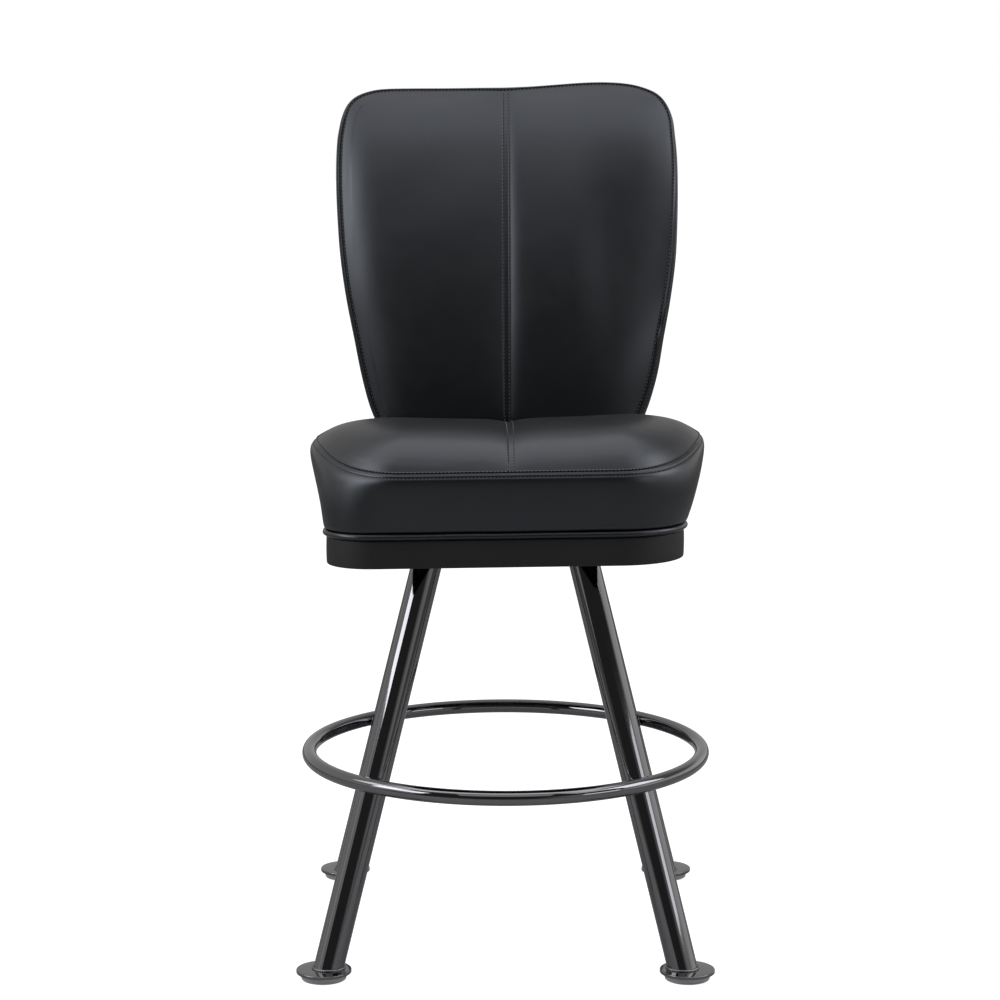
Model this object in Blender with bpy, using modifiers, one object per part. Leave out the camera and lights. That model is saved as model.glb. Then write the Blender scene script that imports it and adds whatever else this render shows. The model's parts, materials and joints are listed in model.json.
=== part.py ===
"""Gaming stool: upholstered swivel seat and back on a four-leg tubular base.

Metres, +Z up.  The front of the stool faces -Y, +X is on the left of a
sitter.  The origin is on the floor, at the centre of the footprint box.
Each sub-part is one object, named for what it is.
"""
import math

import bpy
import bmesh
from mathutils import Matrix, Vector

# ------------------------------------------------------------------ dimensions
GAP = 0.0003                 # clearance between touching pieces

SWIVEL_Y = -0.0426           # the swivel axis, behind or ahead of the origin

# base
FOOT_POS = 0.230             # foot disc centre, from the swivel axis, in x and y
LEG_R = 0.01905              # 1.5 in tube
LEG_WALL = 0.0020
LEG_S0 = 0.22721             # leg axis offset in x and y at floor level
LEG_SLOPE = 0.2479           # how much that offset shrinks per metre of height
LEG_Z0 = 0.0128
LEG_Z1 = 0.5377
DISC_R = 0.0350
DISC_Z0, DISC_Z1 = 0.0085, 0.0125
GLIDE_R_TOP, GLIDE_R_BOTTOM = 0.0305, 0.0270
GLIDE_STEM_R = 0.0040
GLIDE_STEM_TOP = 0.0190
RING_R = 0.2620              # foot ring centre line
RING_TUBE_R = 0.009525       # 3/4 in tube
RING_WALL = 0.0020
RING_Z = 0.2420
PLATE_HALF = 0.1150
PLATE_Z0, PLATE_Z1 = 0.5380, 0.5430

# swivel bearing
SWIVEL_HALF = 0.0890         # 7 in square plates
LOWER_Z0, LOWER_Z1 = 0.5433, 0.5463
UPPER_Z0, UPPER_Z1 = 0.5633, 0.5663
RACE_R_IN, RACE_R_OUT = 0.0400, 0.0580
RACE_R_BALL = 0.0490
BALL_R = 0.0040
BALL_Z = 0.5548
BALL_COUNT = 8
BOLT_POS = 0.0700            # bolt circle corners, from the axis in x and y

# seat
BOARD_Z0, BOARD_Z1 = 0.5666, 0.5816
PAN_Z0 = 0.5270
PAN_SHOULDER_Z = 0.5623
PAN_TOP_Z = 0.5663
PAN_WALL = 0.0040
PAN_OPENING_R = 0.1300
PAN_HALF_W = 0.2255
PAN_FRONT, PAN_REAR = -0.2300, 0.2050
SEAT_CORNER_FRONT = 0.085
SEAT_CORNER_REAR = 0.062
SEAT_TAPER = 0.020           # how much narrower each side is at the rear
SEAT_FRONT_SHARE, SEAT_REAR_SHARE = 0.80, 0.35   # of the cushion's overhang at each side
BOARD_INSET = 0.0042
WELT_R = 0.0042
WELT_Z = 0.5670
COVER_T = 0.0012
COVER_Z0 = 0.5725
SEAM_Z_FRONT, SEAM_RISE, SEAM_REAR_DROP = 0.642, 0.024, 0.010
CROWN_Z = 0.6820
SEAT_CENTRE_Y = -0.010
FOAM_INSET = 0.0034

# back
BACK_TILT = math.radians(9.0)
BACK_Y0, BACK_Z0 = 0.2460, 0.6000      # foot of the back's middle plane
BACK_LENGTH = 0.5225
BACK_FRONT_W, BACK_REAR_W = 0.0300, 0.0287   # from the middle plane to each edge
BACK_CORNER_TOP, BACK_CORNER_BOTTOM = 0.060, 0.028
# half-width of the back at distances up its length
BACK_STATIONS = ((0.000, 0.162), (0.075, 0.192), (0.165, 0.2145), (0.250, 0.2290),
                 (0.330, 0.2365), (0.410, 0.2392), (0.4625, 0.2365), (0.5225, 0.2290))
BACK_PILLOW = 0.0110
BACK_BOARD_INSET = 0.0140
BACK_BOARD_W0, BACK_BOARD_W1 = 0.0040, 0.0160
REAR_COVER_T = 0.0015

# brackets that carry the back
BRACKET_X = 0.0850
BRACKET_WIDTH = 0.0450
BRACKET_T = 0.0060
BRACKET_TOP_Z = 0.5620
BRACKET_Y0 = 0.0980
BRACKET_UP = 0.1650
BRACKET_BEND_R = 0.0100
SEAT_BOLT_Y = (0.1180, 0.1750)
BACK_BOLT_V = (0.0750, 0.1350)

SEAT_N = 40                  # points round the seat outline
BACK_N = 40                  # points round the back outline
TURN_SHARE = 1.5             # how strongly outline points gather at the corners

# ------------------------------------------------------------------ clean start
for old in list(bpy.data.objects):
    bpy.data.objects.remove(old, do_unlink=True)

scene = bpy.context.scene
parts = bpy.data.collections.new("gaming_stool")
cutters = bpy.data.collections.new("gaming_stool_cutters")
scene.collection.children.link(parts)
scene.collection.children.link(cutters)


def make_material(name, colour, roughness, metallic):
    mat = bpy.data.materials.new(name)
    mat.use_nodes = True
    shader = mat.node_tree.nodes["Principled BSDF"]
    shader.inputs["Base Color"].default_value = (*colour, 1.0)
    shader.inputs["Roughness"].default_value = roughness
    shader.inputs["Metallic"].default_value = metallic
    mat.diffuse_color = (*colour, 1.0)
    return mat


# the assembly stands on this empty, so the swivel axis is at its origin
stool = bpy.data.objects.new("stool_frame", None)
stool.location = (0.0, SWIVEL_Y, 0.0)
parts.objects.link(stool)

swivel_empty = bpy.data.objects.new("swivel_axis", None)
swivel_empty.location = (0.0, 0.0, 0.0)
swivel_empty.parent = stool
parts.objects.link(swivel_empty)

# the back's own frame: X across, Y up along the back, Z towards the sitter
back_empty = bpy.data.objects.new("back_plane", None)
back_empty.location = (0.0, BACK_Y0, BACK_Z0)
back_empty.rotation_euler = (math.pi / 2 - BACK_TILT, 0.0, 0.0)
back_empty.parent = swivel_empty
parts.objects.link(back_empty)


def place(ob, coll=parts, parent=stool, mat=None):
    for c in list(ob.users_collection):
        c.objects.unlink(ob)
    coll.objects.link(ob)
    ob.parent = parent
    if mat is not None:
        ob.data.materials.clear()
        ob.data.materials.append(mat)
    if coll is cutters:
        ob.hide_render = True
        ob.display_type = "WIRE"
    return ob


def part_material(ob_name, colour, roughness, metallic):
    return make_material(ob_name + "_finish", colour, roughness, metallic)


BLACK_CHROME = ((0.030, 0.030, 0.034), 0.08, 1.0)
ZINC_STEEL = ((0.55, 0.55, 0.57), 0.35, 1.0)
BLACK_STEEL = ((0.02, 0.02, 0.02), 0.45, 0.0)
VINYL = ((0.012, 0.012, 0.013), 0.42, 0.0)
WELT_VINYL = ((0.014, 0.014, 0.016), 0.25, 0.0)
PAN_BLACK = ((0.015, 0.015, 0.016), 0.60, 0.0)
FOAM = ((0.75, 0.70, 0.55), 0.95, 0.0)
PLYWOOD = ((0.55, 0.38, 0.22), 0.70, 0.0)
GREY_NYLON = ((0.42, 0.42, 0.43), 0.50, 0.0)


def smooth(ob, angle=35.0):
    ob.data.shade_smooth()
    ob.data.set_sharp_from_angle(angle=math.radians(angle))


def boolean(ob, other, operation="DIFFERENCE"):
    mod = ob.modifiers.new(operation.lower() + "_" + other.name, "BOOLEAN")
    mod.operation = operation
    mod.solver = "EXACT"
    mod.object = other
    return mod


def turned(name, profile, steps, location=(0, 0, 0), parent=stool, closed=False,
           look=None, coll=parts, rotation=None):
    """A turned piece: the profile is (radius, height) points down its outer side."""
    mesh = bpy.data.meshes.new(name)
    edges = [(i, i + 1) for i in range(len(profile) - 1)]
    if closed:
        edges.append((len(profile) - 1, 0))
    mesh.from_pydata([(r, 0.0, z) for r, z in profile], edges, [])
    ob = bpy.data.objects.new(name, mesh)
    screw = ob.modifiers.new("turn", "SCREW")
    screw.axis = "Z"
    screw.angle = 2 * math.pi
    screw.steps = steps
    screw.render_steps = steps
    screw.use_merge_vertices = True
    screw.merge_threshold = 0.00001
    screw.use_smooth_shade = True
    ob.location = location
    if rotation is not None:
        ob.rotation_mode = "QUATERNION"
        ob.rotation_quaternion = rotation
    place(ob, coll, parent, part_material(name, *look) if look else None)
    return ob


def cylinder(name, radius, z0, z1, location=(0, 0, 0), sides=16, parent=stool,
             coll=parts, look=None, rotation=None):
    bpy.ops.mesh.primitive_cylinder_add(vertices=sides, radius=radius, depth=z1 - z0)
    ob = bpy.context.object
    ob.name = name
    ob.data.name = name
    ob.data.transform(Matrix.Translation((0, 0, (z0 + z1) / 2)))
    ob.location = location
    if rotation is not None:
        ob.rotation_euler = rotation
    place(ob, coll, parent, part_material(name, *look) if look else None)
    smooth(ob)
    return ob


def box(name, size, centre, parent=stool, coll=parts, look=None, bevel=0.0):
    bpy.ops.mesh.primitive_cube_add(size=1.0)
    ob = bpy.context.object
    ob.name = name
    ob.data.name = name
    ob.data.transform(Matrix.Diagonal((*size, 1.0)))
    ob.location = centre
    place(ob, coll, parent, part_material(name, *look) if look else None)
    if bevel:
        mod = ob.modifiers.new("edge", "BEVEL")
        mod.width = bevel
        mod.segments = 1
    return ob


def circle_points(radius, count, centre=(0.0, 0.0), start=0.0):
    return [(centre[0] + radius * math.cos(start + 2 * math.pi * i / count),
             centre[1] + radius * math.sin(start + 2 * math.pi * i / count))
            for i in range(count)]


def fillet_path(points, radii, steps=16):
    """An open path with each inner corner rounded to its radius."""
    out = [Vector(points[0])]
    for i in range(1, len(points) - 1):
        p, a, b = Vector(points[i]), Vector(points[i - 1]), Vector(points[i + 1])
        r = radii[i]
        da, db = (a - p).normalized(), (b - p).normalized()
        turn = math.pi - da.angle(db)
        if r <= 0 or turn < 1e-4:
            out.append(p)
            continue
        reach = r * math.tan(turn / 2)
        centre = p + (da + db).normalized() * (r / math.cos(turn / 2))
        s, e = p + da * reach - centre, p + db * reach - centre
        for k in range(steps + 1):
            t = k / steps
            v = (s * math.sin((1 - t) * turn) + e * math.sin(t * turn)) / math.sin(turn)
            out.append(centre + v)
    out.append(Vector(points[-1]))
    return out


def resample(path, count):
    """count + 1 points along an open path, set closer together where it turns."""
    total = sum((b - a).length for a, b in zip(path, path[1:]))
    turns = [0.0] * len(path)
    for i in range(1, len(path) - 1):
        a, b = path[i] - path[i - 1], path[i + 1] - path[i]
        if a.length > 1e-9 and b.length > 1e-9:
            turns[i] = a.angle(b)
    lengths = [0.0]
    for i in range(len(path) - 1):
        step = (path[i + 1] - path[i]).length / total
        step += TURN_SHARE * (turns[i] + turns[i + 1]) / (2 * math.pi)
        lengths.append(lengths[-1] + step)
    out, j = [], 0
    for k in range(count + 1):
        want = lengths[-1] * k / count
        while j < len(path) - 2 and lengths[j + 1] < want:
            j += 1
        span = lengths[j + 1] - lengths[j]
        t = 0.0 if span == 0 else (want - lengths[j]) / span
        out.append(path[j].lerp(path[j + 1], min(max(t, 0.0), 1.0)))
    return out


def mirrored_loop(half):
    """Close a half path, which starts and ends on x = 0, into a loop."""
    loop = [(p.x, p.y) for p in half]
    loop[0] = (0.0, loop[0][1])
    loop[-1] = (0.0, loop[-1][1])
    return loop + [(-x, y) for x, y in reversed(loop[1:-1])]


def seat_outline(grow=0.0, bulge=0.0, n=SEAT_N):
    """Plan of the seat, counter-clockwise from the middle of its front edge.  The
    cushion's bulge stands out less at the rear, where it meets the back."""
    half = PAN_HALF_W + grow + bulge
    front = PAN_FRONT - grow - bulge * SEAT_FRONT_SHARE
    rear = PAN_REAR + grow + bulge * SEAT_REAR_SHARE
    rf, rr = SEAT_CORNER_FRONT + grow + bulge, SEAT_CORNER_REAR + grow + bulge
    wide = half + SEAT_TAPER * rf / (rear - front)
    path = fillet_path([(0, front), (wide, front), (wide - SEAT_TAPER, rear), (0, rear)],
                       [0, rf, rr, 0])
    return mirrored_loop(resample(path, n // 2))


def back_half_width(v):
    """Half-width of the back at v up its length: a smooth curve through the stations."""
    st = BACK_STATIONS
    if v <= st[0][0]:
        return st[0][1]
    for i in range(len(st) - 1):
        if v <= st[i + 1][0]:
            v0, x0 = st[i]
            v1, x1 = st[i + 1]
            def slope(k):
                if k == 0:
                    return (st[1][1] - st[0][1]) / (st[1][0] - st[0][0])
                if k == len(st) - 1:
                    return (st[-1][1] - st[-2][1]) / (st[-1][0] - st[-2][0])
                return (st[k + 1][1] - st[k - 1][1]) / (st[k + 1][0] - st[k - 1][0])
            h = v1 - v0
            t = (v - v0) / h
            m0, m1 = slope(i) * h, slope(i + 1) * h
            return ((2 * t ** 3 - 3 * t ** 2 + 1) * x0 + (t ** 3 - 2 * t ** 2 + t) * m0
                    + (-2 * t ** 3 + 3 * t ** 2) * x1 + (t ** 3 - t ** 2) * m1)
    return st[-1][1]


def back_outline(inset=0.0, n=BACK_N):
    """Outline of the back in its own plane, counter-clockwise from the bottom middle."""
    v0, v1 = inset, BACK_LENGTH - inset
    rb = max(BACK_CORNER_BOTTOM - inset, 0.008)
    rt = max(BACK_CORNER_TOP - inset, 0.012)
    points = [(0.0, v0), (back_half_width(v0) - inset, v0)]
    radii = [0.0, rb]
    k = 9
    for i in range(1, k):
        v = v0 + rb + 0.02 + (v1 - rt - 0.01 - v0 - rb - 0.02) * i / k
        points.append((back_half_width(v) - inset, v))
        radii.append(0.0)
    points += [(back_half_width(v1) - inset + 0.004, v1), (0.0, v1)]
    radii += [rt, 0.0]
    return mirrored_loop(resample(fillet_path(points, radii), n // 2))


def loft(name, rings, closed=False, start=None, end=None, look=None, parent=stool,
         flip=False):
    """A skin over rings of equal point count.  start and end are cap points, or
    'face' for a flat cap; None leaves the skin open there."""
    bm = bmesh.new()
    rows = [[bm.verts.new(p) for p in ring] for ring in rings]
    n = len(rows[0])
    pairs = list(zip(rows, rows[1:]))
    if closed:
        pairs.append((rows[-1], rows[0]))
    for lower, upper in pairs:
        for i in range(n):
            j = (i + 1) % n
            bm.faces.new((lower[i], lower[j], upper[j], upper[i]))
    for row, cap, rev in ((rows[0], start, True), (rows[-1], end, False)):
        if cap is None:
            continue
        if cap == "face":
            bm.faces.new(list(reversed(row)) if rev else row)
        else:
            tip = bm.verts.new(cap)
            for i in range(n):
                j = (i + 1) % n
                bm.faces.new((row[j], row[i], tip) if rev else (row[i], row[j], tip))
    if flip:
        bmesh.ops.reverse_faces(bm, faces=bm.faces)
    mesh = bpy.data.meshes.new(name)
    bm.to_mesh(mesh)
    bm.free()
    ob = bpy.data.objects.new(name, mesh)
    place(ob, parts, parent, part_material(name, *look) if look else None)
    smooth(ob)
    return ob


def flat_part(name, outlines, z0, z1, parent=stool, look=None):
    """A flat piece: a filled outline, with any further outlines as its holes."""
    curve = bpy.data.curves.new(name, "CURVE")
    curve.dimensions = "2D"
    curve.fill_mode = "BOTH"
    curve.extrude = (z1 - z0) / 2
    for pts in outlines:
        spline = curve.splines.new("POLY")
        spline.points.add(len(pts) - 1)
        for p, (x, y) in zip(spline.points, pts):
            p.co = (x, y, 0.0, 1.0)
        spline.use_cyclic_u = True
    ob = bpy.data.objects.new(name, curve)
    ob.location = (0.0, 0.0, (z0 + z1) / 2)
    place(ob, parts, parent, part_material(name, *look) if look else None)
    return ob


def rounded_square(half, radius, steps=4):
    pts = []
    for k, (sx, sy) in enumerate(((1, 1), (-1, 1), (-1, -1), (1, -1))):
        cx, cy = sx * (half - radius), sy * (half - radius)
        for i in range(steps + 1):
            a = math.pi / 2 * (k + i / steps)
            pts.append((cx + radius * math.cos(a), cy + radius * math.sin(a)))
    return pts


def hex_bolt(name, x, y, head_z0, head_z1, tip_z, shank_r, head_af, parent=stool,
             look=ZINC_STEEL):
    """A hexagon-head bolt whose shank runs from its head to tip_z, up or down."""
    lo, hi = sorted((head_z0, head_z1))
    mid = (lo + hi) / 2
    shank = cylinder(name + "_shank", shank_r, min(mid, tip_z), max(mid, tip_z), (x, y, 0),
                     12, parent, cutters)
    head = cylinder(name, head_af / 2 / math.cos(math.pi / 6), lo, hi, (x, y, 0), 6, parent,
                    parts, look)
    boolean(head, shank, "UNION")
    return head


def hex_nut(name, x, y, z0, z1, hole_r, af, parent=stool, look=ZINC_STEEL):
    hole = cylinder(name + "_hole", hole_r, z0 - 0.002, z1 + 0.002, (x, y, 0), 12, parent,
                    cutters)
    nut = cylinder(name, af / 2 / math.cos(math.pi / 6), z0, z1, (x, y, 0), 6, parent, parts,
                   look)
    boolean(nut, hole)
    return nut


# ------------------------------------------------------------------ base
def leg_offset(z):
    return LEG_S0 - LEG_SLOPE * z


corners = {"front_left": (-1, -1), "front_right": (1, -1),
           "rear_left": (-1, 1), "rear_right": (1, 1)}

leg_slab = box("leg_length_slab", (0.8, 0.8, LEG_Z1 - LEG_Z0), (0, 0, (LEG_Z0 + LEG_Z1) / 2),
               coll=cutters)

leg_cutters = []
for corner, (sx, sy) in corners.items():
    low, high = -0.02, 0.57
    a = Vector((sx * leg_offset(low), sy * leg_offset(low), low))
    b = Vector((sx * leg_offset(high), sy * leg_offset(high), high))
    length = (b - a).length
    turn = (b - a).to_track_quat("Z", "Y")
    leg = turned("leg_" + corner,
                 [(LEG_R, length), (LEG_R, 0.0), (LEG_R - LEG_WALL, 0.0),
                  (LEG_R - LEG_WALL, length)],
                 24, a, closed=True, look=BLACK_CHROME, rotation=turn)
    boolean(leg, leg_slab, "INTERSECT")
    saddle = turned("saddle_" + corner,
                    [(0.0, length), (LEG_R + GAP, length), (LEG_R + GAP, 0.0), (0.0, 0.0)],
                    24, a, coll=cutters, rotation=turn)
    leg_cutters.append(saddle)

# foot ring: a bent tube, notched where each leg stands against it
bpy.ops.mesh.primitive_torus_add(major_segments=40, minor_segments=10, major_radius=RING_R,
                                 minor_radius=RING_TUBE_R)
foot_ring = bpy.context.object
foot_ring.name = "foot_ring"
foot_ring.location = (0, 0, RING_Z)
place(foot_ring, parts, stool, part_material("foot_ring", *BLACK_CHROME))
smooth(foot_ring)
bpy.ops.mesh.primitive_torus_add(major_segments=40, minor_segments=6, major_radius=RING_R,
                                 minor_radius=RING_TUBE_R - RING_WALL)
ring_core = bpy.context.object
ring_core.name = "foot_ring_core"
ring_core.location = (0, 0, RING_Z)
place(ring_core, cutters, stool)
boolean(foot_ring, ring_core)
for saddle in leg_cutters:
    boolean(foot_ring, saddle)

# feet: a steel disc under each leg, a nylon glide under the disc, its nut in the leg
for corner, (sx, sy) in corners.items():
    at = (sx * FOOT_POS, sy * FOOT_POS, 0.0)
    hole = GLIDE_STEM_R + GAP
    turned("foot_disc_" + corner,
           [(hole, DISC_Z1), (DISC_R - 0.0010, DISC_Z1), (DISC_R, DISC_Z1 - 0.0010),
            (DISC_R, DISC_Z0 + 0.0006), (DISC_R - 0.0006, DISC_Z0), (hole, DISC_Z0)],
           24, at, closed=True, look=BLACK_CHROME)
    top = DISC_Z0 - GAP
    turned("glide_" + corner,
           [(0.0, GLIDE_STEM_TOP), (GLIDE_STEM_R, GLIDE_STEM_TOP), (GLIDE_STEM_R, top),
            (GLIDE_R_TOP, top), (GLIDE_R_TOP, top - 0.0030), (GLIDE_R_BOTTOM, 0.0), (0.0, 0.0)],
           20, at, look=GREY_NYLON)
    nut = turned("glide_nut_" + corner,
                 [(0.0062, 0.0168), (0.0062, DISC_Z1 + GAP), (hole, DISC_Z1 + GAP),
                  (hole, 0.0168)],
                 12, at, closed=True, look=ZINC_STEEL)

# top plate that ties the four legs together
bolt_spots = [(sx * BOLT_POS, sy * BOLT_POS) for sx, sy in corners.values()]
flat_part("base_top_plate",
          [rounded_square(PLATE_HALF, 0.020)] + [circle_points(0.0200, 20)]
          + [circle_points(0.0043, 12, p) for p in bolt_spots],
          PLATE_Z0, PLATE_Z1, look=BLACK_STEEL)

# ------------------------------------------------------------------ swivel bearing
flat_part("swivel_lower_plate",
          [rounded_square(SWIVEL_HALF, 0.010)] + [circle_points(0.0065, 16)]
          + [circle_points(0.0043, 12, p) for p in bolt_spots],
          LOWER_Z0, LOWER_Z1, look=ZINC_STEEL)
flat_part("swivel_upper_plate",
          [rounded_square(SWIVEL_HALF, 0.010)] + [circle_points(0.0065, 16)]
          + [circle_points(0.0035, 12, p) for p in bolt_spots],
          UPPER_Z0, UPPER_Z1, parent=swivel_empty, look=ZINC_STEEL)

groove = BALL_R + 0.0004


def race_profile(z_flat, z_face):
    """A race ring with a shallow V groove for the balls, from its plate to the balls."""
    s = 1.0 if z_face > z_flat else -1.0
    bottom = BALL_Z - s * (groove + 0.0004)
    pts = [(RACE_R_OUT, z_face), (RACE_R_OUT, z_flat), (RACE_R_IN, z_flat), (RACE_R_IN, z_face),
           (RACE_R_BALL - 0.0050, z_face), (RACE_R_BALL - 0.0020, bottom),
           (RACE_R_BALL + 0.0020, bottom), (RACE_R_BALL + 0.0050, z_face)]
    return pts if s > 0 else list(reversed(pts))


turned("swivel_lower_race", race_profile(LOWER_Z1 + GAP, BALL_Z - 0.0020), 28, closed=True,
       look=ZINC_STEEL)
turned("swivel_upper_race", race_profile(UPPER_Z0 - GAP, BALL_Z + 0.0020), 28, closed=True,
       parent=swivel_empty, look=ZINC_STEEL)

cage = turned("swivel_ball_cage",
              [(RACE_R_BALL + 0.0062, BALL_Z + 0.0007), (RACE_R_BALL + 0.0062, BALL_Z - 0.0007),
               (RACE_R_BALL - 0.0062, BALL_Z - 0.0007), (RACE_R_BALL - 0.0062, BALL_Z + 0.0007)],
              28, closed=True, parent=swivel_empty, look=ZINC_STEEL)
for i, (x, y) in enumerate(circle_points(RACE_R_BALL, BALL_COUNT, start=0.11)):
    bm = bmesh.new()
    bmesh.ops.create_icosphere(bm, subdivisions=1, radius=BALL_R)
    mesh = bpy.data.meshes.new("ball_%d" % i)
    bm.to_mesh(mesh)
    bm.free()
    ball = bpy.data.objects.new("ball_%d" % i, mesh)
    ball.location = (x, y, BALL_Z)
    place(ball, cutters, swivel_empty)
    boolean(cage, ball, "UNION")

# king pin: holds the two plates together and fills the turning centre
turned("king_pin",
       [(0.0, 0.5745), (0.0052, 0.5745), (0.0060, 0.5735), (0.0060, LOWER_Z0 - GAP),
        (0.0120, LOWER_Z0 - GAP), (0.0120, 0.5400), (0.0, 0.5400)],
       16, look=ZINC_STEEL)
turned("king_pin_washer",
       [(0.0130, 0.5682), (0.0130, UPPER_Z1 + GAP), (0.0063, UPPER_Z1 + GAP), (0.0063, 0.5682)],
       16, closed=True, look=ZINC_STEEL)
hex_nut("king_pin_nut", 0, 0, 0.5685, 0.5735, 0.0063, 0.0190)

for corner, (sx, sy) in corners.items():
    x, y = sx * BOLT_POS, sy * BOLT_POS
    hex_bolt("base_bolt_" + corner, x, y, LOWER_Z1 + GAP, LOWER_Z1 + 0.0056, 0.5290, 0.0040,
             0.0130)
    hex_nut("base_nut_" + corner, x, y, 0.5311, PLATE_Z0 - GAP, 0.0043, 0.0130)
    hex_bolt("seat_screw_" + corner, x, y, UPPER_Z0 - GAP, UPPER_Z0 - 0.0045, 0.5795, 0.0030,
             0.0100, parent=swivel_empty)

# ------------------------------------------------------------------ seat
board_outline = seat_outline(-BOARD_INSET)
bracket_spots = [(s * BRACKET_X, y) for s in (-1, 1) for y in SEAT_BOLT_Y]
flat_part("seat_board",
          [board_outline, circle_points(0.0200, 20)]
          + [circle_points(0.0034, 10, p) for p in bolt_spots]
          + [circle_points(0.0045, 10, p) for p in bracket_spots],
          BOARD_Z0, BOARD_Z1, parent=swivel_empty, look=PLYWOOD)


def seam_height(y):
    """Height of the seat's top seam: low at the front, up along the sides."""
    def ease(t):
        t = min(max(t, 0.0), 1.0)
        return t * t * (3 - 2 * t)
    return (SEAM_Z_FRONT + SEAM_RISE * ease((y + 0.215) / 0.135)
            - SEAM_REAR_DROP * ease((y - 0.03) / 0.17))


# how far the cushion stands out past the pan, at fractions of the boxing's height
SEAT_WALL = ((0.00, 0.0002), (0.12, 0.0030), (0.55, 0.0160), (0.90, 0.0245), (1.00, 0.0235))


def seat_rings(inset=0.0, bottom=COVER_Z0):
    rings = []
    for t, bulge in SEAT_WALL:
        outline = seat_outline(-inset, bulge)
        ring = []
        for x, y in outline:
            top = seam_height(y) - inset * 0.3
            z = COVER_Z0 + (top - COVER_Z0) * t
            ring.append((x, y, max(z, bottom) if t < 0.2 else z))
        rings.append(ring)
    edge = rings[-1]
    for scale in (0.955, 0.86, 0.68, 0.40):
        ring = []
        for x, y, z in edge:
            px, py = x * scale, SEAT_CENTRE_Y + (y - SEAT_CENTRE_Y) * scale
            rise = (CROWN_Z - inset - z) * (1 - scale ** 2.8)
            lift = 0.0030 * (1 - scale) / 0.05 if scale > 0.95 else 0.0030
            ring.append((px, py, z + rise + lift * (1 - (1 - scale))))
        rings.append(ring)
    return rings


tip = (0.0, SEAT_CENTRE_Y, CROWN_Z + 0.0020)
cover = loft("seat_cover", seat_rings(), end=tip, look=VINYL, parent=swivel_empty)
shell = cover.modifiers.new("thickness", "SOLIDIFY")
shell.thickness = COVER_T
shell.offset = -1.0
shell.use_even_offset = True

foam_rings = seat_rings(FOAM_INSET)
floor_z = BOARD_Z1 + GAP
foam_rings[0] = [(x, y, floor_z) for x, y, z in foam_rings[1]]
foam_rings = [foam_rings[0]] + foam_rings[2:]
loft("seat_foam", foam_rings, start="face",
     end=(0.0, SEAT_CENTRE_Y, CROWN_Z + 0.0020 - FOAM_INSET), look=FOAM, parent=swivel_empty)

# welt: a piping cord between the cushion and the pan
welt_line = seat_outline(-BOARD_INSET + GAP * 2 + WELT_R)
curve = bpy.data.curves.new("seat_welt", "CURVE")
curve.dimensions = "3D"
curve.bevel_depth = WELT_R
curve.bevel_resolution = 1
spline = curve.splines.new("POLY")
spline.points.add(len(welt_line) - 1)
for p, (x, y) in zip(spline.points, welt_line):
    p.co = (x, y, 0.0, 1.0)
spline.use_cyclic_u = True
welt = bpy.data.objects.new("seat_welt", curve)
welt.location = (0.0, 0.0, WELT_Z)
place(welt, parts, swivel_empty, part_material("seat_welt", *WELT_VINYL))

# pan: a moulded tray screwed under the board, open in its middle for the swivel
def level(outline, z):
    return [(x, y, z) for x, y in outline]


def opening_ring(outline, z):
    """Points of the round opening, each on the line from the axis to the outline's."""
    return [(PAN_OPENING_R * x / math.hypot(x, y), PAN_OPENING_R * y / math.hypot(x, y), z)
            for x, y in outline]


outer = seat_outline()
inner = seat_outline(-PAN_WALL)
rim = seat_outline(-0.0050)
step_in = seat_outline(-0.0085)
pan = loft("seat_pan",
           [level(outer, PAN_Z0), level(outer, PAN_SHOULDER_Z), level(rim, PAN_SHOULDER_Z),
            level(rim, PAN_TOP_Z), opening_ring(rim, PAN_TOP_Z),
            opening_ring(rim, PAN_SHOULDER_Z), level(step_in, PAN_SHOULDER_Z),
            level(step_in, PAN_SHOULDER_Z - 0.0035), level(inner, PAN_SHOULDER_Z - 0.0035),
            level(inner, PAN_Z0)],
           closed=True, look=PAN_BLACK, parent=swivel_empty)
for i, s in enumerate((-1, 1)):
    slot = box("bracket_slot_%d" % i, (BRACKET_WIDTH + 0.0016, 0.060, BRACKET_T + 0.0016),
               (s * BRACKET_X, PAN_REAR, BRACKET_TOP_Z - BRACKET_T / 2 - 0.0002),
               parent=swivel_empty, coll=cutters)
    boolean(pan, slot)
for i, (x, y) in enumerate(bracket_spots):
    hole = cylinder("pan_hole_%d" % i, 0.0045, 0.555, 0.575, (x, y, 0), 10, swivel_empty,
                    cutters)
    boolean(pan, hole)

# ------------------------------------------------------------------ back
back_spots = [(s * BRACKET_X, v) for s in (-1, 1) for v in BACK_BOLT_V]


def back_ring(inset, w, bulge=0.0):
    """Outline ring of the back; w is towards the rear, so it is minus the local Z."""
    return [(x, v, -w + bulge) for x, v in back_outline(inset)]


def shrunk(ring, scale, w):
    cv = 0.46 * BACK_LENGTH
    return [(x * scale, cv + (v - cv) * scale, -w) for x, v, _ in ring]


def back_front_rings(inset, start_w):
    """From the rear edge of the boxing, over the front edge, to the front panel."""
    edge = back_ring(0.0045 + inset, -BACK_FRONT_W + inset)
    rings = [back_ring(inset, start_w), back_ring(inset, -BACK_FRONT_W + 0.0060 + inset), edge]
    for scale, rise in ((0.93, 0.40), (0.78, 0.78), (0.50, 0.96)):
        rings.append(shrunk(edge, scale, -(BACK_FRONT_W + BACK_PILLOW * rise - inset)))
    return rings


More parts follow.
